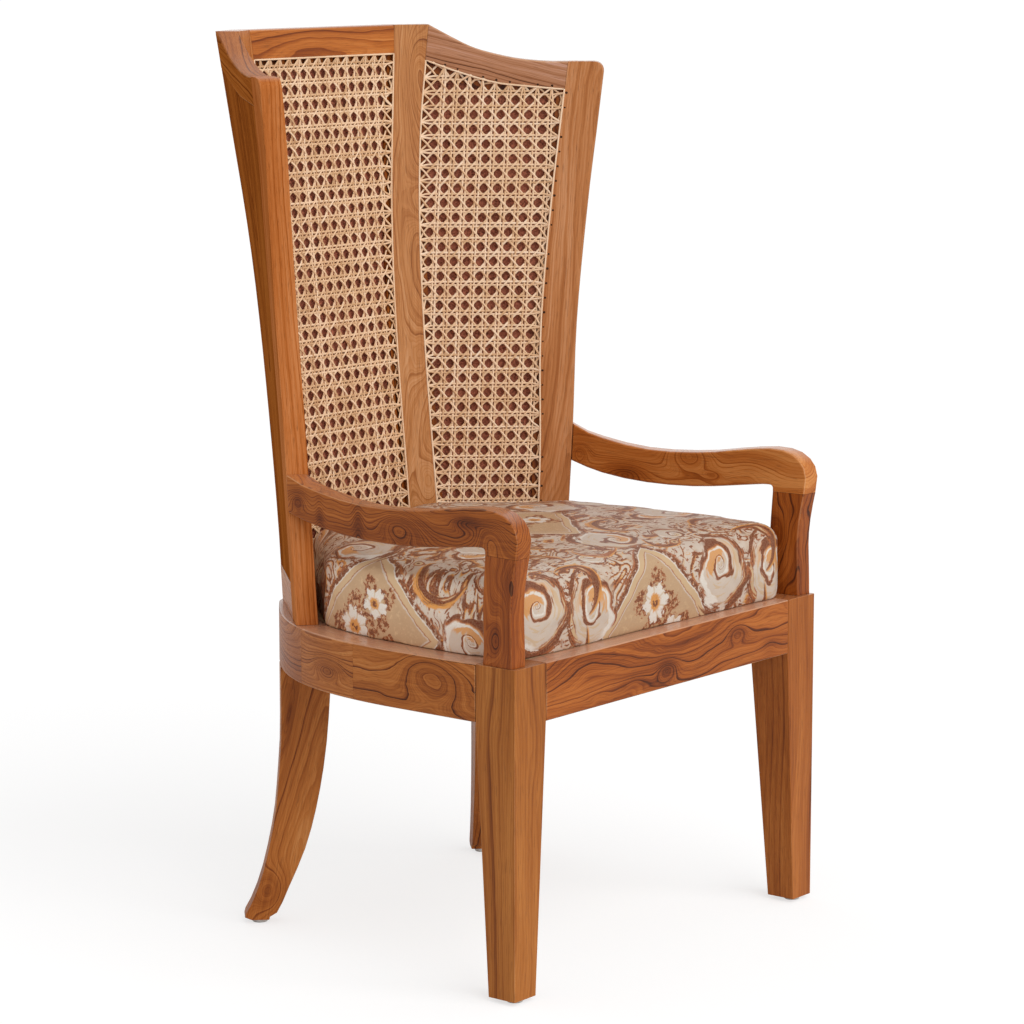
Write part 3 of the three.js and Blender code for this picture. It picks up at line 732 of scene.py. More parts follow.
class Panel:
    """The front face between two upright edges. A place on it is a run from the first edge and a height."""

    def __init__(self, levels, start, end, turn, top):
        self.levels, self.start, self.end, self.turn = levels, start, end, turn
        self.low = opening_low
        self.runs, self.tops = [0, 1], [top, top]

    def edges(self, z):
        """The places of the two upright edges at a height."""
        z = np.asarray(z, float)
        at = [np.interp(z, self.levels, column) for column in (*self.start.T, *self.end.T)]
        return np.stack(at[:2], -1), np.stack(at[2:], -1)

    def width(self, z):
        start, end = self.edges(z)
        return np.linalg.norm(end - start, axis=-1)

    def ways(self, z):
        """The first edge at a height, the way along the face from there and the way back from it."""
        start, end = self.edges(z)
        way = (end - start) / np.linalg.norm(end - start, axis=-1)[..., None]
        return start, way, np.stack([-way[..., 1], way[..., 0]], -1) * self.turn

    def top(self, run):
        """The height of the opening's top over a run."""
        return np.interp(run, self.runs, self.tops)

    def crest_low(self, share):
        """The height of the opening's top at a share of its width."""
        z = self.top(0)
        for _ in range(crest_rounds):
            z = self.top(float(self.width(z)) * share)
        return float(z)

    def spot(self, run, z, depth):
        """A point at a run and height, set back from the face, and the way out of the face there."""
        start, way, back = self.ways(z)
        flat = start + way * np.asarray(run)[..., None] + back * np.asarray(depth)[..., None]
        out = np.concatenate([-back, np.zeros(back.shape[:-1] + (1,))], -1)
        return np.concatenate([flat, np.asarray(z, float)[..., None] + 0 * flat[..., :1]], -1), out


def wing_panel(side):
    """The wing on one side: +1 for right and -1 for left."""
    name = "right" if side > 0 else "left"
    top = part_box("wing_stile_" + name)[1].z
    levels = np.linspace(opening_low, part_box("back_post_" + name)[1].z - edge_clear, level_count)
    below = np.minimum(levels, top - stile_round)
    start = edge_line("back_post_" + name, levels, (0.7 * side, -0.72))
    end = edge_line("wing_stile_" + name, below, (-side, 0))
    panel = Panel(levels, start, end, side, top)
    rail_points = points_of(nodes["wing_top_rail_" + name].data)
    panel.runs, panel.tops = under_edge(panel, rail_points)
    return panel


def under_edge(panel, points):
    """The lower front edge of a rail, as runs and the heights over them."""
    start, way, back = panel.ways(points[:, 2])
    run = ((points[:, :2] - start) * way).sum(1)
    depth = ((points[:, :2] - start) * back).sum(1)
    front = depth < rail_front
    found = {}
    for r, z in zip(run[front], points[front, 2]):
        key = round(r / rail_step)
        if key not in found or z < found[key][1]:
            found[key] = (r, z)
    return zip(*sorted(found.values()))


def panel_node(kind, name):
    """The frame's name for a part of a panel, such as back_cane or wing_cane_left."""
    return "back_" + kind if name == "back" else name.replace("wing", "wing_" + kind)


def back_panel():
    """The middle panel, between the two back posts."""
    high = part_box("back_top_rail")[0].z
    levels = np.linspace(opening_low, high, level_count)
    start = edge_line("back_post_left", levels, (1, -0.3))
    end = edge_line("back_post_right", levels, (-1, -0.3))
    return Panel(levels, start, end, 1, high)


panels = {"back": back_panel(), "wing_right": wing_panel(1), "wing_left": wing_panel(-1)}
for name, panel in panels.items():
    widths = [round(float(panel.width(z)) * 1000) for z in (opening_low, 1.04)]
    print(name, "panel, width in mm at the bottom and near the top:", widths)

# %% [markdown]
# A ribbon of cane is flat below and rounded above. Its path is a row of points with
# the way out of the panel at each, and sweeping one small outline along it gives the
# strand. All strands of a panel go into one mesh, and each keeps its own tint and
# its length, for the fibres in the finish.

# %% Ribbons
ribbon_outline = np.array([
    (-0.5, -0.5), (-0.46, 0.16), (-0.22, 0.5), (0.22, 0.5), (0.46, 0.16), (0.5, -0.5),
])
ribbon_crease = math.radians(60)


class Weave:
    """Many ribbons gathered for one mesh."""

    def __init__(self):
        self.points, self.faces, self.marks, self.count = [], [], [], 0

    def ribbon(self, path, out, width, thickness, tint):
        """Sweeps the small outline along a path, with out as the way up."""
        step = np.gradient(path, axis=0)
        step /= np.linalg.norm(step, axis=1)[:, None]
        side = np.cross(step, out)
        side /= np.linalg.norm(side, axis=1)[:, None]
        up = np.cross(side, step)
        a, b = ribbon_outline[:, 0] * width, ribbon_outline[:, 1] * thickness
        ring = path[:, None] + side[:, None] * a[None, :, None] + up[:, None] * b[None, :, None]
        n, k = len(path), len(ribbon_outline)
        run = np.concatenate([[0], np.cumsum(np.linalg.norm(np.diff(path, axis=0), axis=1))])
        mark = np.stack(np.broadcast_arrays(ribbon_outline[None, :, 0], run[:, None], tint), -1)
        first = self.count + np.arange(n - 1)[:, None] * k + np.arange(k)[None]
        after = self.count + np.arange(n - 1)[:, None] * k + (np.arange(k)[None] + 1) % k
        self.faces.append(np.stack([first, after, after + k, first + k], -1).reshape(-1, 4))
        self.points.append(ring.reshape(-1, 3))
        self.marks.append(mark.reshape(-1, 3))
        self.count += n * k

    def mesh(self, name):
        mesh = bpy.data.meshes.new(name)
        points, faces = np.concatenate(self.points), np.concatenate(self.faces)
        mesh.from_pydata(points.tolist(), [], faces[:, ::-1].tolist())
        fibre = mesh.attributes.new("fibre", "FLOAT_VECTOR", "POINT")
        fibre.data.foreach_set("vector", np.concatenate(self.marks).astype(np.float32).ravel())
        soften(mesh, ribbon_crease)
        return mesh


def cane(name, tone):
    """Split cane: straw-coloured, glossy on its bark side, with fine lines along it."""
    strip = Finish(name)
    across, run, tint = strip.parts(strip.attribute("fibre", "Vector"))
    lines = strip.noise(strip.vector(across * 7, run * 60, tint * 90), detail=2, roughness=0.6)
    patch = strip.noise(strip.vector(across, run * 14, tint * 40), detail=2)
    tone = tint * 0.55 + (lines - 0.5) * 0.5 + (patch - 0.5) * 0.7 + tone
    stops = [
        (0.0, (0.47, 0.250, 0.110)), (0.3, (0.70, 0.435, 0.240)),
        (0.6, (0.82, 0.570, 0.370)), (1.0, (0.90, 0.720, 0.550)),
    ]
    edge = strip.step(across.math("ABSOLUTE"), 0.32, 0.5)
    strip.set(
        Base_Color=strip.mix(edge * 0.35, strip.ramp(stops, tone), (0.50, 0.28, 0.13)),
        Roughness=0.36 + (lines - 0.5) * 0.3,
        Normal=strip.relief(lines, 0.00015, 0.6),
    )
    return strip.material


straw = {"back": cane("cane_back", 0.08), "wing": cane("cane_wing", 0.21)}
print("cane ribbon ready,", len(ribbon_outline), "points round")

# %% [markdown]
# The weave is laid out on the flat, as runs and heights. The level pairs lie at the
# same heights as the holes in the side boards, the upright pairs half a hole further
# in, and the diagonals run through the holes. Each strand is cut where it leaves the
# opening, and its last stretch is drawn to the nearest hole, which gives the fans
# that a hand-woven edge shows.

# %% Weaving
strand_width = 0.0027
strand_thickness = 0.0009
pair_half = 0.00215
cane_depth = 0.0034
end_depth = 0.0002
end_reach = 0.50
onward_share = 0.30
corner_clear = 0.004
hole_rounds = 6
trial_count = 40
weave_rng = random.Random(11)


class Layout:
    """Positions of the uprights and rows of one panel, in runs and heights.

    column_run gives the run of upright pair i at a height, and fractions lie between pairs.
    """

    def __init__(self, panel, column_run, column_pitch, row_pitch, row_start, side_margins):
        self.panel, self.column_run, self.column_pitch = panel, column_run, column_pitch
        self.row_pitch, self.row_start, self.side_margins = row_pitch, row_start, side_margins

    def row_height(self, j):
        return self.row_start + j * self.row_pitch

    def inside(self, run, z, side=(0.0, 0.0), above=0.0):
        """Whether a place lies in the opening, clear of its sides and its top."""
        return (
            (run > side[0]) & (run < self.panel.width(z) - side[1])
            & (z > self.panel.low) & (z < self.panel.top(run) - above)
        )


def holes_round(layout, column_count, row_count):
    """The holes in the boards round an opening, as runs and heights."""
    panel = layout.panel
    found = []
    for j in range(row_count):
        z = layout.row_height(j)
        if z < panel.low:
            continue
        for run in (0.0, float(panel.width(z))):
            if z < panel.top(run) - corner_clear:
                found.append((run, z))
    for i in range(-1, column_count + 3):
        z = float(panel.top(0))
        for _ in range(hole_rounds):
            run = float(layout.column_run(i, z))
            z = float(panel.top(run))
        if corner_clear < run < panel.width(z) - corner_clear:
            found.append((run, z))
        low = float(layout.column_run(i, panel.low))
        if 0 < low < panel.width(panel.low):
            found.append((low, panel.low))
    return np.array(found)


def strand(weave, layout, holes, index_path, heights, side=(0.0, 0.0), above=0.0, onward=0.0):
    """Lays one strand through weave places (column, row), with its height over the net at each.

    A strand ends in the hole nearest to where it meets the edge, or to a little onward from there.
    """
    columns, rows = index_path[:, 0], index_path[:, 1]
    z = layout.row_height(rows)
    run = layout.column_run(columns, z)
    keep = layout.inside(run, z, side, above)
    if keep.sum() < 1:
        return
    first, last = np.flatnonzero(keep)[[0, -1]]
    places = np.stack([run, z], 1)[first:last + 1]
    lifts = heights[first:last + 1]
    ends = []
    for end, beyond in ((0, first - 1), (-1, last + 1)):
        edge = places[end]
        if 0 <= beyond < len(run):
            outer = np.array([run[beyond], z[beyond]])
            trial = edge + (outer - edge) * np.linspace(0, 1, trial_count)[:, None]
            inside = layout.inside(trial[:, 0], trial[:, 1], side, above)
            edge = trial[np.flatnonzero(inside)[-1]]
            way = (outer - places[end]) / np.linalg.norm(outer - places[end])
            edge = edge + way * onward * layout.row_pitch
        ends.append(holes[np.argmin(np.linalg.norm(holes - edge, axis=1))])
    reach = end_reach * layout.row_pitch
    far = [np.linalg.norm(places - end, axis=1) > reach for end in ends]
    keep = far[0] & far[1]
    if keep.sum() < 1:
        return
    places, lifts = places[keep], lifts[keep]
    places = np.concatenate([[ends[0]], places, [ends[1]]])
    lifts = np.concatenate([[cane_depth - end_depth], lifts, [cane_depth - end_depth]])
    path, out = layout.panel.spot(places[:, 0], places[:, 1], cane_depth - lifts)
    tint = weave_rng.random()
    weave.ribbon(path, out, strand_width * (0.9 + 0.2 * weave_rng.random()), strand_thickness, tint)


def woven(name, layout, column_count, row_count):
    """The whole net of one panel."""
    weave = Weave()
    holes = holes_round(layout, column_count, row_count)
    over = strand_thickness / 2
    diagonal_over = strand_thickness
    row_half = pair_half / layout.row_pitch
    column_half = pair_half / layout.column_pitch
    for i in range(1, column_count + 1):
        for side in (-1, 1):
            path, lifts = [], []
            column = i + side * column_half
            for j in range(-1, row_count + 1):
                path += [(column, j - row_half), (column, j + row_half), (column, j + 0.5)]
                lifts += [-side * over, side * over, 0]
            strand(weave, layout, holes, np.array(path), np.array(lifts), side=layout.side_margins)
    for j in range(row_count):
        for side in (-1, 1):
            row = j + side * row_half
            path, lifts = [(-0.5, row)], [0]
            for i in range(0, column_count + 3):
                path += [(i - column_half, row), (i + column_half, row), (i + 0.5, row)]
                lifts += [side * over, -side * over, 0]
            strand(weave, layout, holes, np.array(path), np.array(lifts), above=edge_margin)
    for slope in (1, -1):
        for k in range(-column_count - row_count, column_count + row_count + 2):
            path, lifts = [], []
            for half in range(-1, 2 * column_count + 4):
                column = half / 2
                row = slope * column + k + 0.5
                if row < -2 or row > row_count + 1:
                    continue
                sign = 1 if half % 2 else -1
                level = sign * slope * diagonal_over
                near = row_half if half % 2 else column_half
                path += [(column - near, row - slope * near), (column + near, row + slope * near)]
                lifts += [level, level]
            if len(path) > 3:
                strand(weave, layout, holes, np.array(path), np.array(lifts), onward=onward_share)
    return new_piece(name, weave.mesh(name), straw[name.split("_")[0]]), holes


wing_pitch = 0.0181
wing_step = 0.0167
wing_widen = 0.00015
wing_widen_lean = 0.00029
wing_row_pitch = 0.01929
wing_row_start = 0.439555
wing_lean = 0.0427
wing_bow = 0.1144
wing_first = 0.0186
wing_level = 0.951
back_pitch = 0.01846
back_row_pitch = 0.01954
back_row_start = 0.45305
back_lean = -0.012
back_lean_level = 0.75
back_middle = 7.5
edge_margin = 0.0065
near_margin = 0.010
far_margin = 0.004


def wing_layout(panel):
    """Uprights that follow the stile, so that the first ones run out at the fold.

    The squares grow a little towards the stile, and more so near the top, where the wing is wide.
    """
    def column_run(i, z):
        square = i - 0.5
        drop = np.minimum(z - wing_level, 0)
        widen = wing_widen + wing_widen_lean * drop
        shift = wing_lean * drop - wing_bow * drop * drop
        return wing_first + square * wing_step + widen * square * abs(square) + shift
    return Layout(panel, column_run, wing_pitch, wing_row_pitch, wing_row_start, (near_margin, far_margin))


def back_layout(panel):
    """Uprights that stay parallel, an equal number on each side of the middle."""
    def column_run(i, z):
        return panel.width(z) / 2 + (i - back_middle) * back_pitch + back_lean * (z - back_lean_level)
    return Layout(panel, column_run, back_pitch, back_row_pitch, back_row_start, (near_margin, near_margin))


row_count = 36
layouts = {
    "back": (back_layout(panels["back"]), 14),
    "wing_right": (wing_layout(panels["wing_right"]), 10),
    "wing_left": (wing_layout(panels["wing_left"]), 10),
}
edge_holes = {}
for name, (layout, column_count) in layouts.items():
    node = panel_node("cane", name)
    piece, edge_holes[name] = woven(node + "_woven", layout, column_count, row_count)
    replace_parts(piece, node)
    print(node, "woven,", len(piece.data.polygons), "faces,", len(edge_holes[name]), "holes")

# %% [markdown]
# A wider strip of cane, the binder, hides the edge of the weave. It follows the
# opening all the way round. Beside it the ends of the wooden pegs show as dark dots
# that keep the strands tight in their holes.

# %% Binder and pegs
binder_width = 0.0024
binder_thickness = 0.0012
binder_inset = 0.0008
binder_lift = 0.0001
outline_counts = {"up": 70, "over": 40, "down": 60, "under": 20}
peg_radius = 0.0016
peg_offset = 0.0026
peg_lift = 0.00003
peg_dome = 0.00016
peg_taper = 0.7
peg_sides = 8
peg_missing = 0.2


def outline(panel, inset):
    """Places along the opening's edge, a little inside it."""
    count, low = outline_counts, panel.low + inset
    up = [(inset, z) for z in np.linspace(low, panel.top(0) - inset, count["up"])]
    far = float(panel.width(panel.top(1.0) - inset)) - inset
    over = [(run, float(panel.top(run)) - inset) for run in np.linspace(inset, far, count["over"])]
    levels = np.linspace(over[-1][1], low, count["down"])[1:]
    down = [(float(panel.width(z)) - inset, z) for z in levels]
    under = [(run, low) for run in np.linspace(down[-1][0], inset, count["under"])[1:]]
    return np.array(up + over[1:] + down + under)


def binder(name, panel):
    """One wide ribbon round the opening."""
    weave = Weave()
    places = outline(panel, binder_inset)
    path, out = panel.spot(places[:, 0], places[:, 1], -binder_lift)
    weave.ribbon(path, out, binder_width, binder_thickness, 0.85)
    return new_piece(name, weave.mesh(name), straw[name.split("_")[0]])


def peg_finish(name):
    peg = Finish(name)
    speck = peg.noise(peg.place(), scale=900, detail=2)
    peg.set(
        Base_Color=peg.mix(speck, (0.018, 0.007, 0.003), (0.07, 0.028, 0.012)),
        Roughness=0.55 + speck * 0.2,
        Normal=peg.relief(speck, 0.0002, 0.6),
        Specular_IOR_Level=0.1,
    )
    return peg.material


def pegs(name, panel, holes, material):
    """Low domes on the boards, just outside the binder."""
    middle = holes.mean(0)
    points, faces = [], []
    for run, z in holes:
        if z <= panel.low + edge_clear or weave_rng.random() < peg_missing:
            continue
        on_top = abs(z - float(panel.top(run))) < 2 * edge_clear
        if on_top and name == "back_pegs":
            continue
        shift = (0, peg_offset) if on_top else (math.copysign(peg_offset, run - middle[0]), 0)
        base, out = (Vector(v) for v in panel.spot(run + shift[0], z + shift[1], -peg_lift))
        side = Vector(upright).cross(out).normalized()
        radius = peg_radius * (0.75 + 0.5 * weave_rng.random())
        start = len(points)
        for share, lift in ((1.0, 0.0), (peg_taper, peg_dome)):
            for s in range(peg_sides):
                turn = 2 * math.pi * s / peg_sides
                spoke = side * math.cos(turn) + Vector(upright) * math.sin(turn)
                points.append(base + spoke * radius * share + out * lift)
        rim = list(range(start, start + peg_sides))
        for a, b in pairs_round(rim):
            faces.append((a, b, b + peg_sides, a + peg_sides))
        faces.append(tuple(a + peg_sides for a in rim))
        faces.append(tuple(reversed(rim)))
    mesh = bpy.data.meshes.new(name)
    mesh.from_pydata(points, [], faces)
    soften(mesh)
    return new_piece(name, mesh, material)


peg_dark = peg_finish("peg_ends")
for name, panel in panels.items():
    node = panel_node("cane_binding", name)
    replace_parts(binder(node + "_strip", panel), node)
    pegs(name + "_pegs", panel, edge_holes[name], peg_dark)
print("binders and pegs in place")

# %% [markdown]
# Along its edges the weave doesn't hang over an open hole: the strands lie on a lip of
# the frame, which shows as darker wood between them. The lip is one flat moulding that
# follows the opening, set just under the strands and let into the boards.

# %% The lip behind the weave
ledge_depth = 0.0062
ledge_thickness = 0.003
ledge_reach = {"near": 0.009, "far": 0.010, "top": 0.014}
ledge_hold = 0.007
ledge_counts = {"side": 50, "top": 40}


def ledge(name, panel, near, far):
    """The lip of the frame that the strands lie over, seen between them along the edges."""
    points, faces = [], []
    high = float(panel.top(1.0)) - edge_clear
    for start, end, drop in ((-ledge_hold, -ledge_hold, -ledge_hold), (near, far, ledge_reach["top"])):
        levels = np.linspace(panel.low, float(panel.top(0)) - drop, ledge_counts["side"])
        up = [(start, z) for z in levels]
        runs = np.linspace(start, float(panel.width(high)) - end, ledge_counts["top"])
        over = [(run, float(panel.top(run)) - drop) for run in runs]
        levels = np.linspace(over[-1][1], panel.low, ledge_counts["side"])
        down = [(float(panel.width(z)) - end, z) for z in levels]
        places = np.array(up + over[1:] + down[1:])
        for depth in (ledge_depth, ledge_depth + ledge_thickness):
            points.append(panel.spot(places[:, 0], places[:, 1], depth)[0])
    count = len(points[0])
    outer_front, outer_back, inner_front, inner_back = (k * count for k in range(4))
    loop = [outer_front, inner_front, inner_back, outer_back]
    for a, b in pairs_round(loop):
        faces += [(a + i, a + i + 1, b + i + 1, b + i) for i in range(count - 1)]
    faces.append(tuple(loop))
    faces.append(tuple(a + count - 1 for a in reversed(loop)))
    mesh = solid(name, np.concatenate(points).tolist(), faces)
    wood = teak("teak_" + name, figure_origin, upright, (0, -1, 0), heart=0.1, seed=40.0, tone=-0.26)
    return new_piece(name, mesh, wood.material)


ledge("back_ledge", panels["back"], ledge_reach["near"], ledge_reach["near"])
for name in ("wing_right", "wing_left"):
    ledge(name + "_ledge", panels[name], ledge_reach["near"], ledge_reach["far"])
print("three lips laid under the edges of the weave")

# %% [markdown]
# Behind the lip the opening is closed by a thin dark cloth, as upholsterers put behind
# cane so that nothing shows through it. It is a coarse stuff, so its finish is mottled
# in two browns and stays dull.

# %% The cloth behind the weave
lining_depth = 0.0095
lining_thickness = 0.0008
lining_hold = 0.009
lining_drop = 0.002


def lining_finish(name):
    """A dark brown open cloth, which shows as mottled red-brown in the holes."""
    cloth = Finish(name)
    x, y, z = cloth.parts(cloth.place())
    speck = cloth.noise(cloth.vector(x * 330, y * 330, z * 330), detail=2, roughness=0.7)
    patch = cloth.noise(cloth.vector(x * 30, y * 30, z * 30), detail=2)
    cloth.set(
        Base_Color=cloth.mix(speck * 2.0 + patch * 0.6 - 0.80, (0.090, 0.020, 0.009), (0.56, 0.190, 0.110)),
        Roughness=0.75 + (speck - 0.5) * 0.3,
        Normal=cloth.relief(speck, 0.0006, 0.7),
        Specular_IOR_Level=0.1,
    )
    return cloth.material


def lining(name, panel, material):
    """A thin sheet across the opening, held in the rebate of the boards."""
    points, faces = [], []
    across, up = 8, 40
    for depth in (lining_depth, lining_depth + lining_thickness):
        for i in range(up + 1):
            for j in range(across + 1):
                share = j / across
                guess = panel.low + (panel.crest_low(share) - panel.low) * i / up
                run = float(panel.width(guess)) * share + lining_hold * (2 * share - 1)
                top = float(panel.top(run)) + lining_hold * 0.5
                z = panel.low - lining_drop + (top - panel.low + lining_drop) * i / up
                points.append(tuple(panel.spot(run, z, depth)[0]))
    row = across + 1
    sheet = row * (up + 1)
    for i in range(up):
        for j in range(across):
            a = i * row + j
            faces.append((a, a + 1, a + 1 + row, a + row))
            faces.append((sheet + a + row, sheet + a + 1 + row, sheet + a + 1, sheet + a))
    rim = list(range(across)) + [i * row + across for i in range(up)]
    rim += [up * row + j for j in range(across, 0, -1)] + [i * row for i in range(up, 0, -1)]
    for a, b in pairs_round(rim):
        faces.append((a, sheet + a, sheet + b, b))
    return new_piece(name, solid(name, points, faces), material)


lining_brown = lining_finish("brown_lining")
for name, panel in panels.items():
    lining(name + "_lining", panel, lining_brown)
print("three linings hung")

# %% [markdown]
# The cushion is a block of foam in a fitted cover of printed satin. It starts as the
# frame's own solid, drawn in a little, and a cloth simulation blows it up against a
# cap, so that the faces swell and the cover pulls between the corners. Then it is
# stretched back to the box that it had, and gets a few soft hollows and creases.

# %% Cushion
cushion_inset = 0.0015
cushion_cap = 0.006
cushion_voxel = 0.0055
cushion_crown = 0.009
cushion_skirt = 0.012
cushion_ruffle = 0.0016
cushion_pressure = 4
cushion_quality = 6
cushion_frames = 20
board_gap = 0.0002


def cushion_shape():
    """An even net of points over the frame's cushion, with a skirt below that is cut off later."""
    low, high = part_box("seat_cushion")
    centre = (low + high) / 2
    mesh = nodes["seat_cushion"].data.copy()
    mesh.name = "cushion_cover"
    size = high - low
    scale = [(s - 2 * cushion_inset) / s for s in size]
    for vertex in mesh.vertices:
        for k in range(3):
            vertex.co[k] = centre[k] + (vertex.co[k] - centre[k]) * scale[k]
        if vertex.co.z < low.z + cushion_skirt:
            vertex.co.z -= cushion_skirt
    piece = put("cushion_cover", mesh)
    remesh = piece.modifiers.new("remesh", "REMESH")
    remesh.mode = "VOXEL"
    remesh.voxel_size = cushion_voxel
    graph = bpy.context.evaluated_depsgraph_get()
    meshed = bpy.data.meshes.new_from_object(piece.evaluated_get(graph))
    piece.modifiers.clear()
    piece.data = meshed
    return piece, low, high


def blow_up(piece):
    """Cloth with air inside, its points held to a small movement."""
    before = points_of(piece.data)
    cloth = piece.modifiers.new("cloth", "CLOTH")
    cloth.settings.use_pressure = True
    cloth.settings.uniform_pressure_force = cushion_pressure
    cloth.settings.effector_weights.gravity = 0
    cloth.settings.quality = cushion_quality
    scene = bpy.context.scene
    cloth.point_cache.frame_start = 1
    cloth.point_cache.frame_end = cushion_frames
    for step in range(1, cushion_frames + 1):
        scene.frame_set(step)
    graph = bpy.context.evaluated_depsgraph_get()
    blown = bpy.data.meshes.new_from_object(piece.evaluated_get(graph))
    scene.frame_set(1)
    piece.modifiers.clear()
    move = points_of(blown) - before
    length = np.linalg.norm(move, axis=1)
    cap = cushion_cap * np.tanh(length / cushion_cap) / np.maximum(length, 1e-9)
    return fitted(before + move * cap[:, None], before)


def fitted(points, model):
    """Points stretched to fill the same box as a model, because a swollen cover draws its sides in."""
    low, high = points.min(0), points.max(0)
    return model.min(0) + (points - low) * (np.ptp(model, axis=0) / (high - low))


def ruffle(points, normals):
    """Soft hollows and a few creases in the cover, deeper on its sides."""
    moved = []
    for point, normal in zip(points, normals):
        side = 1 - abs(normal[2])
        soft = noise.noise(Vector((point[0] * 14, point[1] * 14, point[2] * 9)))
        crease = 1 - abs(noise.noise(Vector((point[0] * 24 + 7, point[1] * 24, point[2] * 11)))) * 6
        depth = soft * (0.5 + side) - max(crease, 0) * 0.5 * side
        moved.append(point + np.array(normal) * depth * cushion_ruffle)
    return np.array(moved)


print("cushion's swelling at most", round(cushion_cap * 1000), "mm")

# %% [markdown]
# The cover is cut in one piece over the top and down the sides, so the print runs on
# over the rounded edge. A flat map of the cloth does that here: it is the plan on
# top, and carries on by the length of cloth round the edge and down each side. Where
# two sides meet, the map changes at the corner, as the cloth does at its seam.

# %% Cloth map
edge_round = 0.026


def rolled(offset, height, sign, limit, shoulder):
    """A plan place carried round the edge on the side of sign, by length of cloth."""
    past = np.maximum(sign * offset - (limit - edge_round), 0)
    above = height - shoulder
    angle = np.arccos(np.clip(above / edge_round, 0, 1))
    drop = np.maximum(-above, 0)
    return sign * (sign * offset - past + np.maximum(edge_round * angle, past) + drop)


def map_cloth(mesh, low, high):
    """Writes the flat map, in metres, as the mesh's only UV layer."""
    points = points_of(mesh)
    centre = (np.array(low) + np.array(high)) / 2
    shoulder = high.z - cushion_crown - edge_round
    half = (np.array(high) - np.array(low))[:2] / 2
    flat = points[:, :2] - centre[:2]
    loops = np.empty((len(mesh.loops), 2))
    for face in mesh.polygons:
        index = np.fromiter(face.vertices, int)
        x, y, z = flat[index, 0], flat[index, 1], points[index, 2]
        middle = flat[index].mean(0) / half
        if abs(middle[1]) >= abs(middle[0]):
            y = rolled(y, z, math.copysign(1, middle[1]), half[1], shoulder)
        else:
            x = rolled(x, z, math.copysign(1, middle[0]), half[0], shoulder)
        loops[list(face.loop_indices)] = np.stack([x, y], 1)
    layer = mesh.uv_layers.new(name="cloth")
    layer.data.foreach_set("uv", loops.astype(np.float32).ravel())


print("cloth map ready, edge rounded by", round(edge_round * 1000), "mm")

# %% [markdown]
# The print is a furnishing pattern in browns on cream: large diamonds with a tan
# ground and loose white flowers, and scrolls in between. Each motif is drawn from
# its own middle in plain distances and angles, repeats with the tile, and is painted
# over what is there already. A little noise in the map makes every line look brushed.

# %% Colours and motifs of the print
tile = (0.36, 0.33)
scroll_growth = 4.2
cream = (0.462, 0.334, 0.243)
pale_cream = (0.540, 0.450, 0.376)
tan = (0.450, 0.290, 0.168)
light_tan = (0.525, 0.360, 0.208)
brown = (0.150, 0.036, 0.014)
rust = (0.310, 0.088, 0.028)
ochre = (0.580, 0.245, 0.058)
white = (0.655, 0.600, 0.535)


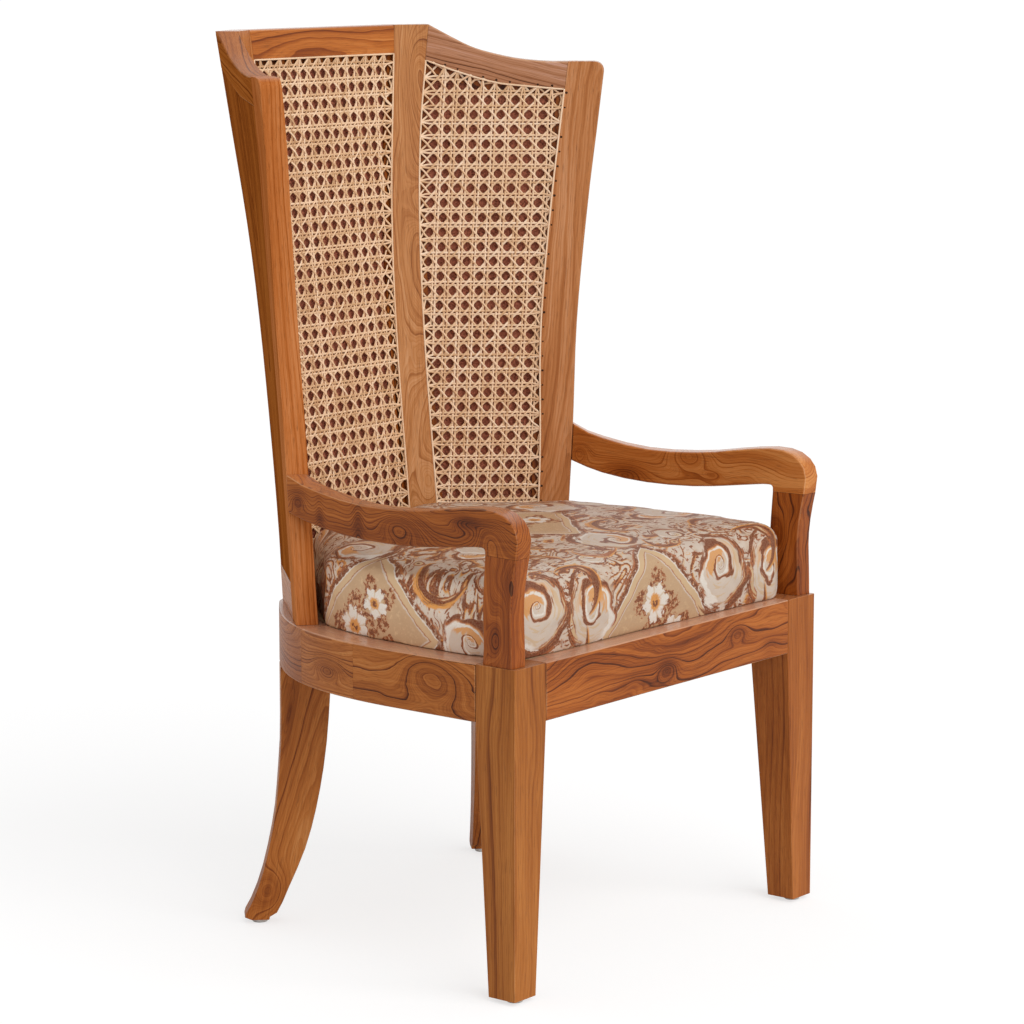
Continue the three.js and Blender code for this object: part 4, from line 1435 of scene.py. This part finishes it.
class Print:
    """Motifs painted one over another on cloth."""

    def __init__(self, cloth, u, v, brush, wave, ground):
        self.cloth, self.u, self.v, self.brush, self.wave = cloth, u, v, brush, wave
        self.colour = ground

    def polar(self, at, size, turn=0.0, hand=1):
        """Distance and angle from a motif's middle, turned, and mirrored where hand is -1."""
        x = self.cloth.wrap(self.u - at[0], tile[0]) * hand
        y = self.cloth.wrap(self.v - at[1], tile[1])
        c, s = math.cos(math.radians(turn)), math.sin(math.radians(turn))
        along, up = x * c + y * s, y * c - x * s
        return (along * along + up * up).math("SQRT") * (1 / size), up.math("ARCTAN2", along)

    def hairs(self, at, radius, angle):
        """Noise drawn out round a motif's middle, as a brush leaves it, from -0.5 to 0.5."""
        x = angle.math("COSINE") + at[0] * 50
        y = angle.math("SINE") + at[1] * 50
        return self.cloth.noise(self.cloth.vector(x, y, radius * 7), detail=2, roughness=0.6) - 0.5

    def below(self, value, limit, soft=0.04):
        """1 where a number is under a limit."""
        return self.cloth.step(value - limit, -soft, soft, 1.0, 0.0)

    def lay(self, mask, colour):
        """Paints a colour where the mask is 1."""
        self.colour = self.cloth.mix(mask, self.colour, colour)

    def flower(self, at, size, petals, turn):
        """Loose petals over a few leaves, with an ochre eye."""
        radius, angle = self.polar(at, size, turn)
        ragged = (self.brush - 0.5) * 1.1
        leaf = 1.30 + (angle * 4 + 1.0).math("COSINE") * 0.40 + ragged * 1.5
        self.lay(self.below(radius, leaf, 0.10) * self.cloth.step(self.brush, 0.44, 0.50), rust)
        self.lay(self.below(radius, leaf - 0.1, 0.10) * self.cloth.step(self.brush, 0.50, 0.56), brown)
        lobes = (angle * petals).math("COSINE") * 0.10 + (angle * (petals * 2 + 1)).math("SINE") * 0.08
        self.lay(self.below(radius, 0.84 + lobes + ragged * 0.8), white)
        vein = self.cloth.step((angle * petals).math("COSINE"), -1.0, -0.75, 1.0, 0.0)
        self.lay(vein * self.below(radius, 0.75) * 0.6, light_tan)
        self.lay(self.below(radius, 0.38 + ragged * 0.5, 0.08), ochre)
        eye = self.below(radius, 0.20 + ragged * 0.4, 0.06)
        self.lay(eye * self.cloth.step(self.brush, 0.44, 0.5), brown)

    def scroll(self, at, size, turn=0.0, hand=1, fill=ochre):
        """A pale egg tinged to one side, a stroke that winds into it, and a dark crescent."""
        radius, angle = self.polar(at, size, turn, hand)
        hair = self.hairs(at, radius, angle)
        rag = self.brush - 0.5
        radius = radius * (1 + (angle - 2.0).math("COSINE") * 0.22) + (self.wave - 0.5) * 0.7
        facing = self.cloth.step(angle.math("COSINE") + hair * 2.2, -0.15, 0.35)
        crescent = self.below(radius, 1.44 + hair * 0.9 + rag * 0.3, 0.04) * facing
        self.lay(crescent, rust)
        self.lay(crescent * self.cloth.step(hair + rag * 0.2, -0.04, 0.03), brown)
        self.lay(crescent * self.cloth.step(hair, -0.13, -0.09, 1.0, 0.0), light_tan)
        body = self.below(radius, 1.14 + hair * 0.5 + rag * 0.2, 0.05)
        self.lay(body, pale_cream)
        self.lay(body * self.cloth.step(hair, 0.05, 0.11) * 0.7, light_tan)
        tinged = self.cloth.step((angle - 2.4).math("COSINE") + hair * 3 + (self.wave - 0.5) * 2, -0.2, 0.5)
        self.lay(body * tinged * self.below(radius, 0.98, 0.12) * 0.85, fill)
        winding = angle * (0.5 / math.pi) - radius.math("LOGARITHM", scroll_growth)
        phase = (winding + hair * 0.10 + rag * 0.06).math("FRACT")
        thick = radius * 0.09 + hair * 0.22
        self.lay(body * self.below((phase - 0.66).math("ABSOLUTE"), 0.07 + hair * 0.3, 0.03), white)
        self.lay(body * self.below((phase - 0.42).math("ABSOLUTE"), thick + 0.06, 0.03), rust)
        self.lay(body * self.below((phase - 0.40).math("ABSOLUTE"), thick + 0.02, 0.03), brown)

    def ring(self, at, size):
        """A small berry with a pale band and a dark middle."""
        radius, _ = self.polar(at, size)
        radius = radius + (self.brush - 0.5) * 0.4
        self.lay(self.below(radius, 1.0, 0.08), rust)
        self.lay(self.below(radius, 0.70, 0.08), light_tan)
        self.lay(self.below(radius, 0.30, 0.08), brown)

    def sweep(self, at, size, width, turn=0.0, hand=1, colour=brown):
        """A tapering arc, like one stroke of a broad brush."""
        radius, angle = self.polar(at, size, turn, hand)
        hair = self.hairs(at, radius, angle)
        taper = self.cloth.step(angle.math("ABSOLUTE"), 0.2, 1.9, 1.0, 0.0)
        limit = taper * (width + hair * 0.35)
        stroke = self.cloth.step(taper, 0.02, 0.12)
        self.lay(self.below((radius - 1.05).math("ABSOLUTE"), limit + 0.05 * taper, 0.03) * stroke, ochre)
        stroke = stroke * self.below((radius - 1).math("ABSOLUTE"), limit, 0.03)
        self.lay(stroke, colour)
        self.lay(stroke * self.cloth.step(hair, 0.03, 0.08), rust)
        self.lay(stroke * self.cloth.step(hair, 0.14, 0.18), light_tan)

    def diamond(self, half_width, half_height):
        """A tan field between two bands, round the middle of the tile."""
        x, y = self.cloth.wrap(self.u, tile[0]), self.cloth.wrap(self.v, tile[1])
        slope = 1 / math.hypot(half_width, half_height)
        wave = (self.brush - 0.5) * 0.007
        reach = x.math("ABSOLUTE") * (half_height * slope) + y.math("ABSOLUTE") * (half_width * slope)
        edge = reach - half_width * half_height * slope
        lumps = self.cloth.step(self.brush, 0.40, 0.52)
        self.lay(self.below(edge + wave, 0.0155, 0.001) * lumps, rust)
        self.lay(self.below(edge + wave, 0.0130, 0.001) * lumps, brown)
        edge = edge + wave * 0.4
        for limit, colour in ((0.0060, white), (0.0045, light_tan), (-0.0040, rust), (-0.0052, pale_cream)):
            self.lay(self.below(edge, limit, 0.0008), colour)
        self.lay(self.below(edge, -0.0070, 0.0010), tan)
        self.lay(self.below(edge, -0.012, 0.006) * self.cloth.step(self.brush, 0.5, 0.66), light_tan)


print("motifs ready")

# %% [markdown]
# The ground of the print is painted as well: streaked, marbled browns where the cloth
# is busy and bare cream between. The motifs go over it, and last comes the satin's own
# weave, which is far finer than the print. The cushion's left and right sides are
# painted a little paler than the rest, as painted light on them.

# %% Printed satin
marble_stops = [
    (0.00, brown), (0.17, brown), (0.22, rust), (0.31, ochre), (0.38, light_tan), (0.47, pale_cream),
    (0.86, pale_cream), (0.93, light_tan), (0.96, rust), (1.00, brown),
]
# How much paler the cushion's sides are painted: painted light on the sides.
side_painted_light = 0.44
thread_pitch = 0.0007
flowers = [
    dict(at=(0.0, 0.030), size=0.026, petals=6, turn=10),
    dict(at=(0.034, -0.010), size=0.021, petals=5, turn=40),
    dict(at=(-0.030, -0.022), size=0.017, petals=6, turn=80),
]
scrolls = [
    dict(at=(0.128, 0.062), size=0.037, turn=-20),
    dict(at=(-0.128, 0.048), size=0.035, turn=-30, hand=-1),
    dict(at=(0.165, -0.092), size=0.030, turn=60),
    dict(at=(-0.140, -0.100), size=0.036, turn=120, hand=-1),
    dict(at=(0.005, 0.165), size=0.034, turn=200),
    dict(at=(0.095, 0.140), size=0.019, turn=100, hand=-1, fill=light_tan),
    dict(at=(-0.095, 0.125), size=0.018, turn=10, fill=light_tan),
]
sweeps = [
    dict(at=(0.185, 0.000), size=0.040, width=0.15, turn=-60),
    dict(at=(0.205, 0.070), size=0.036, width=0.18, turn=150, hand=-1),
    dict(at=(-0.085, -0.110), size=0.036, width=0.17, turn=20, hand=-1),
    dict(at=(0.090, -0.115), size=0.040, width=0.16, turn=150),
    dict(at=(-0.170, 0.140), size=0.034, width=0.17, turn=75),
    dict(at=(0.060, 0.130), size=0.030, width=0.20, turn=240),
    dict(at=(-0.060, 0.150), size=0.032, width=0.18, turn=-110, colour=rust),
]
rings = [
    dict(at=(0.070, 0.108), size=0.010),
    dict(at=(-0.068, -0.075), size=0.011),
    dict(at=(0.100, -0.060), size=0.009),
]


def printed_satin(name):
    """The whole print, layer by layer, and the fine weave over it."""
    cloth = Finish(name)
    u, v, _ = cloth.parts(cloth.add("UVMap", {"uv_map": "cloth"}))
    flow = cloth.noise(cloth.vector(u, v, 3.0), scale=22, detail=1)
    flow_too = cloth.noise(cloth.vector(u, v, 9.0), scale=22, detail=1)
    brush = cloth.noise(cloth.vector(u, v, 5.0), scale=150, detail=3, roughness=0.65)
    fine = cloth.noise(cloth.vector(u, v, 7.0), scale=420, detail=2, roughness=0.7)
    u = u + (flow - 0.5) * 0.012 + (brush - 0.5) * 0.0025
    v = v + (flow_too - 0.5) * 0.012 + (fine - 0.5) * 0.002
    wave = cloth.noise(cloth.vector(u, v, 21.0), scale=34, detail=1)
    patch = cloth.noise(cloth.vector(u, v, 2.0), scale=26, detail=3, roughness=0.6)
    ground = cloth.mix(cloth.step(patch, 0.36, 0.60), cream, pale_cream)
    paint = Print(cloth, u, v, brush, wave, ground)
    swirls = cloth.noise(cloth.vector(u, v, 1.0), scale=10, detail=1.5, distortion=1.8)
    marble = cloth.ramp(marble_stops, (swirls * 9 + (brush - 0.5) * 0.2).math("FRACT"))
    busy = cloth.step(cloth.noise(cloth.vector(u, v, 13.0), scale=17, detail=2), 0.42, 0.50)
    paint.lay(busy, marble)
    strokes = cloth.noise(cloth.vector(u * 55, v * 110, 1.0), detail=2, distortion=1.8)
    paint.lay(cloth.step(strokes, 0.56, 0.60) * 0.9, rust)
    paint.lay(cloth.step(strokes, 0.60, 0.64) * 0.9, brown)
    paint.lay(cloth.step(strokes, 0.36, 0.40, 1.0, 0.0) * 0.8, pale_cream)
    paint.lay(cloth.step(strokes, 0.27, 0.31, 1.0, 0.0) * 0.7, ochre)
    paint.diamond(0.100, 0.105)
    motifs = {paint.flower: flowers, paint.scroll: scrolls, paint.sweep: sweeps, paint.ring: rings}
    for draw, settings in motifs.items():
        for setting in settings:
            draw(**setting)
    warp, weft = (cloth.wrap(way, thread_pitch).math("ABSOLUTE") for way in (u, v))
    weave = (warp + weft) * 1400
    # Faces that look sideways are painted paler: painted light on the cushion's sides.
    across, _, _ = cloth.parts(cloth.add("TexCoord", output="Normal"))
    painted_side_light = cloth.step(across * across, 0.2, 0.9) * side_painted_light
    finished = cloth.mix(cloth.step(fine, 0.35, 0.65) * 0.20, paint.colour, light_tan)
    cloth.set(
        Base_Color=cloth.mix(painted_side_light, finished, finished, "ADD"),
        Roughness=0.42 + (weave - 1.0) * 0.06 + (fine - 0.5) * 0.1,
        Normal=cloth.relief(weave * 0.5 + fine * 0.4, 0.00012, 0.5),
        Specular_IOR_Level=0.13,
        Sheen_Weight=0.03,
        Sheen_Roughness=0.4,
    )
    return cloth.material


print("printed satin ready,", len(scrolls), "scrolls and", len(sweeps), "sweeps to a tile")

# %% [markdown]
# The blown-up shape now becomes the cover: it is held off the board below, smoothed
# by one subdivision, and mapped and finished.

# %% The finished cushion
cover, cushion_low, cushion_high = cushion_shape()
cushion_points = blow_up(cover)
cushion_points = ruffle(cushion_points, [tuple(v.normal) for v in cover.data.vertices])
cushion_points[:, 2] = np.maximum(cushion_points[:, 2], cushion_low.z + board_gap)
cover.data.vertices.foreach_set("co", cushion_points.astype(np.float32).ravel())
cover.data.polygons.foreach_set("use_smooth", [True] * len(cover.data.polygons))
finer = cover.modifiers.new("finer", "SUBSURF")
finer.levels = finer.render_levels = 1
map_cloth(cover.data, cushion_low, cushion_high)
dress(cover.data, printed_satin("printed_satin"))
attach(cover, "root")
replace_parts(cover, "seat_cushion")
print("cushion blown up,", len(cover.data.vertices), "points")

# %% [markdown]
# Last, a short line says that the chair is dressed.

# %% The end
print("chair dressed")
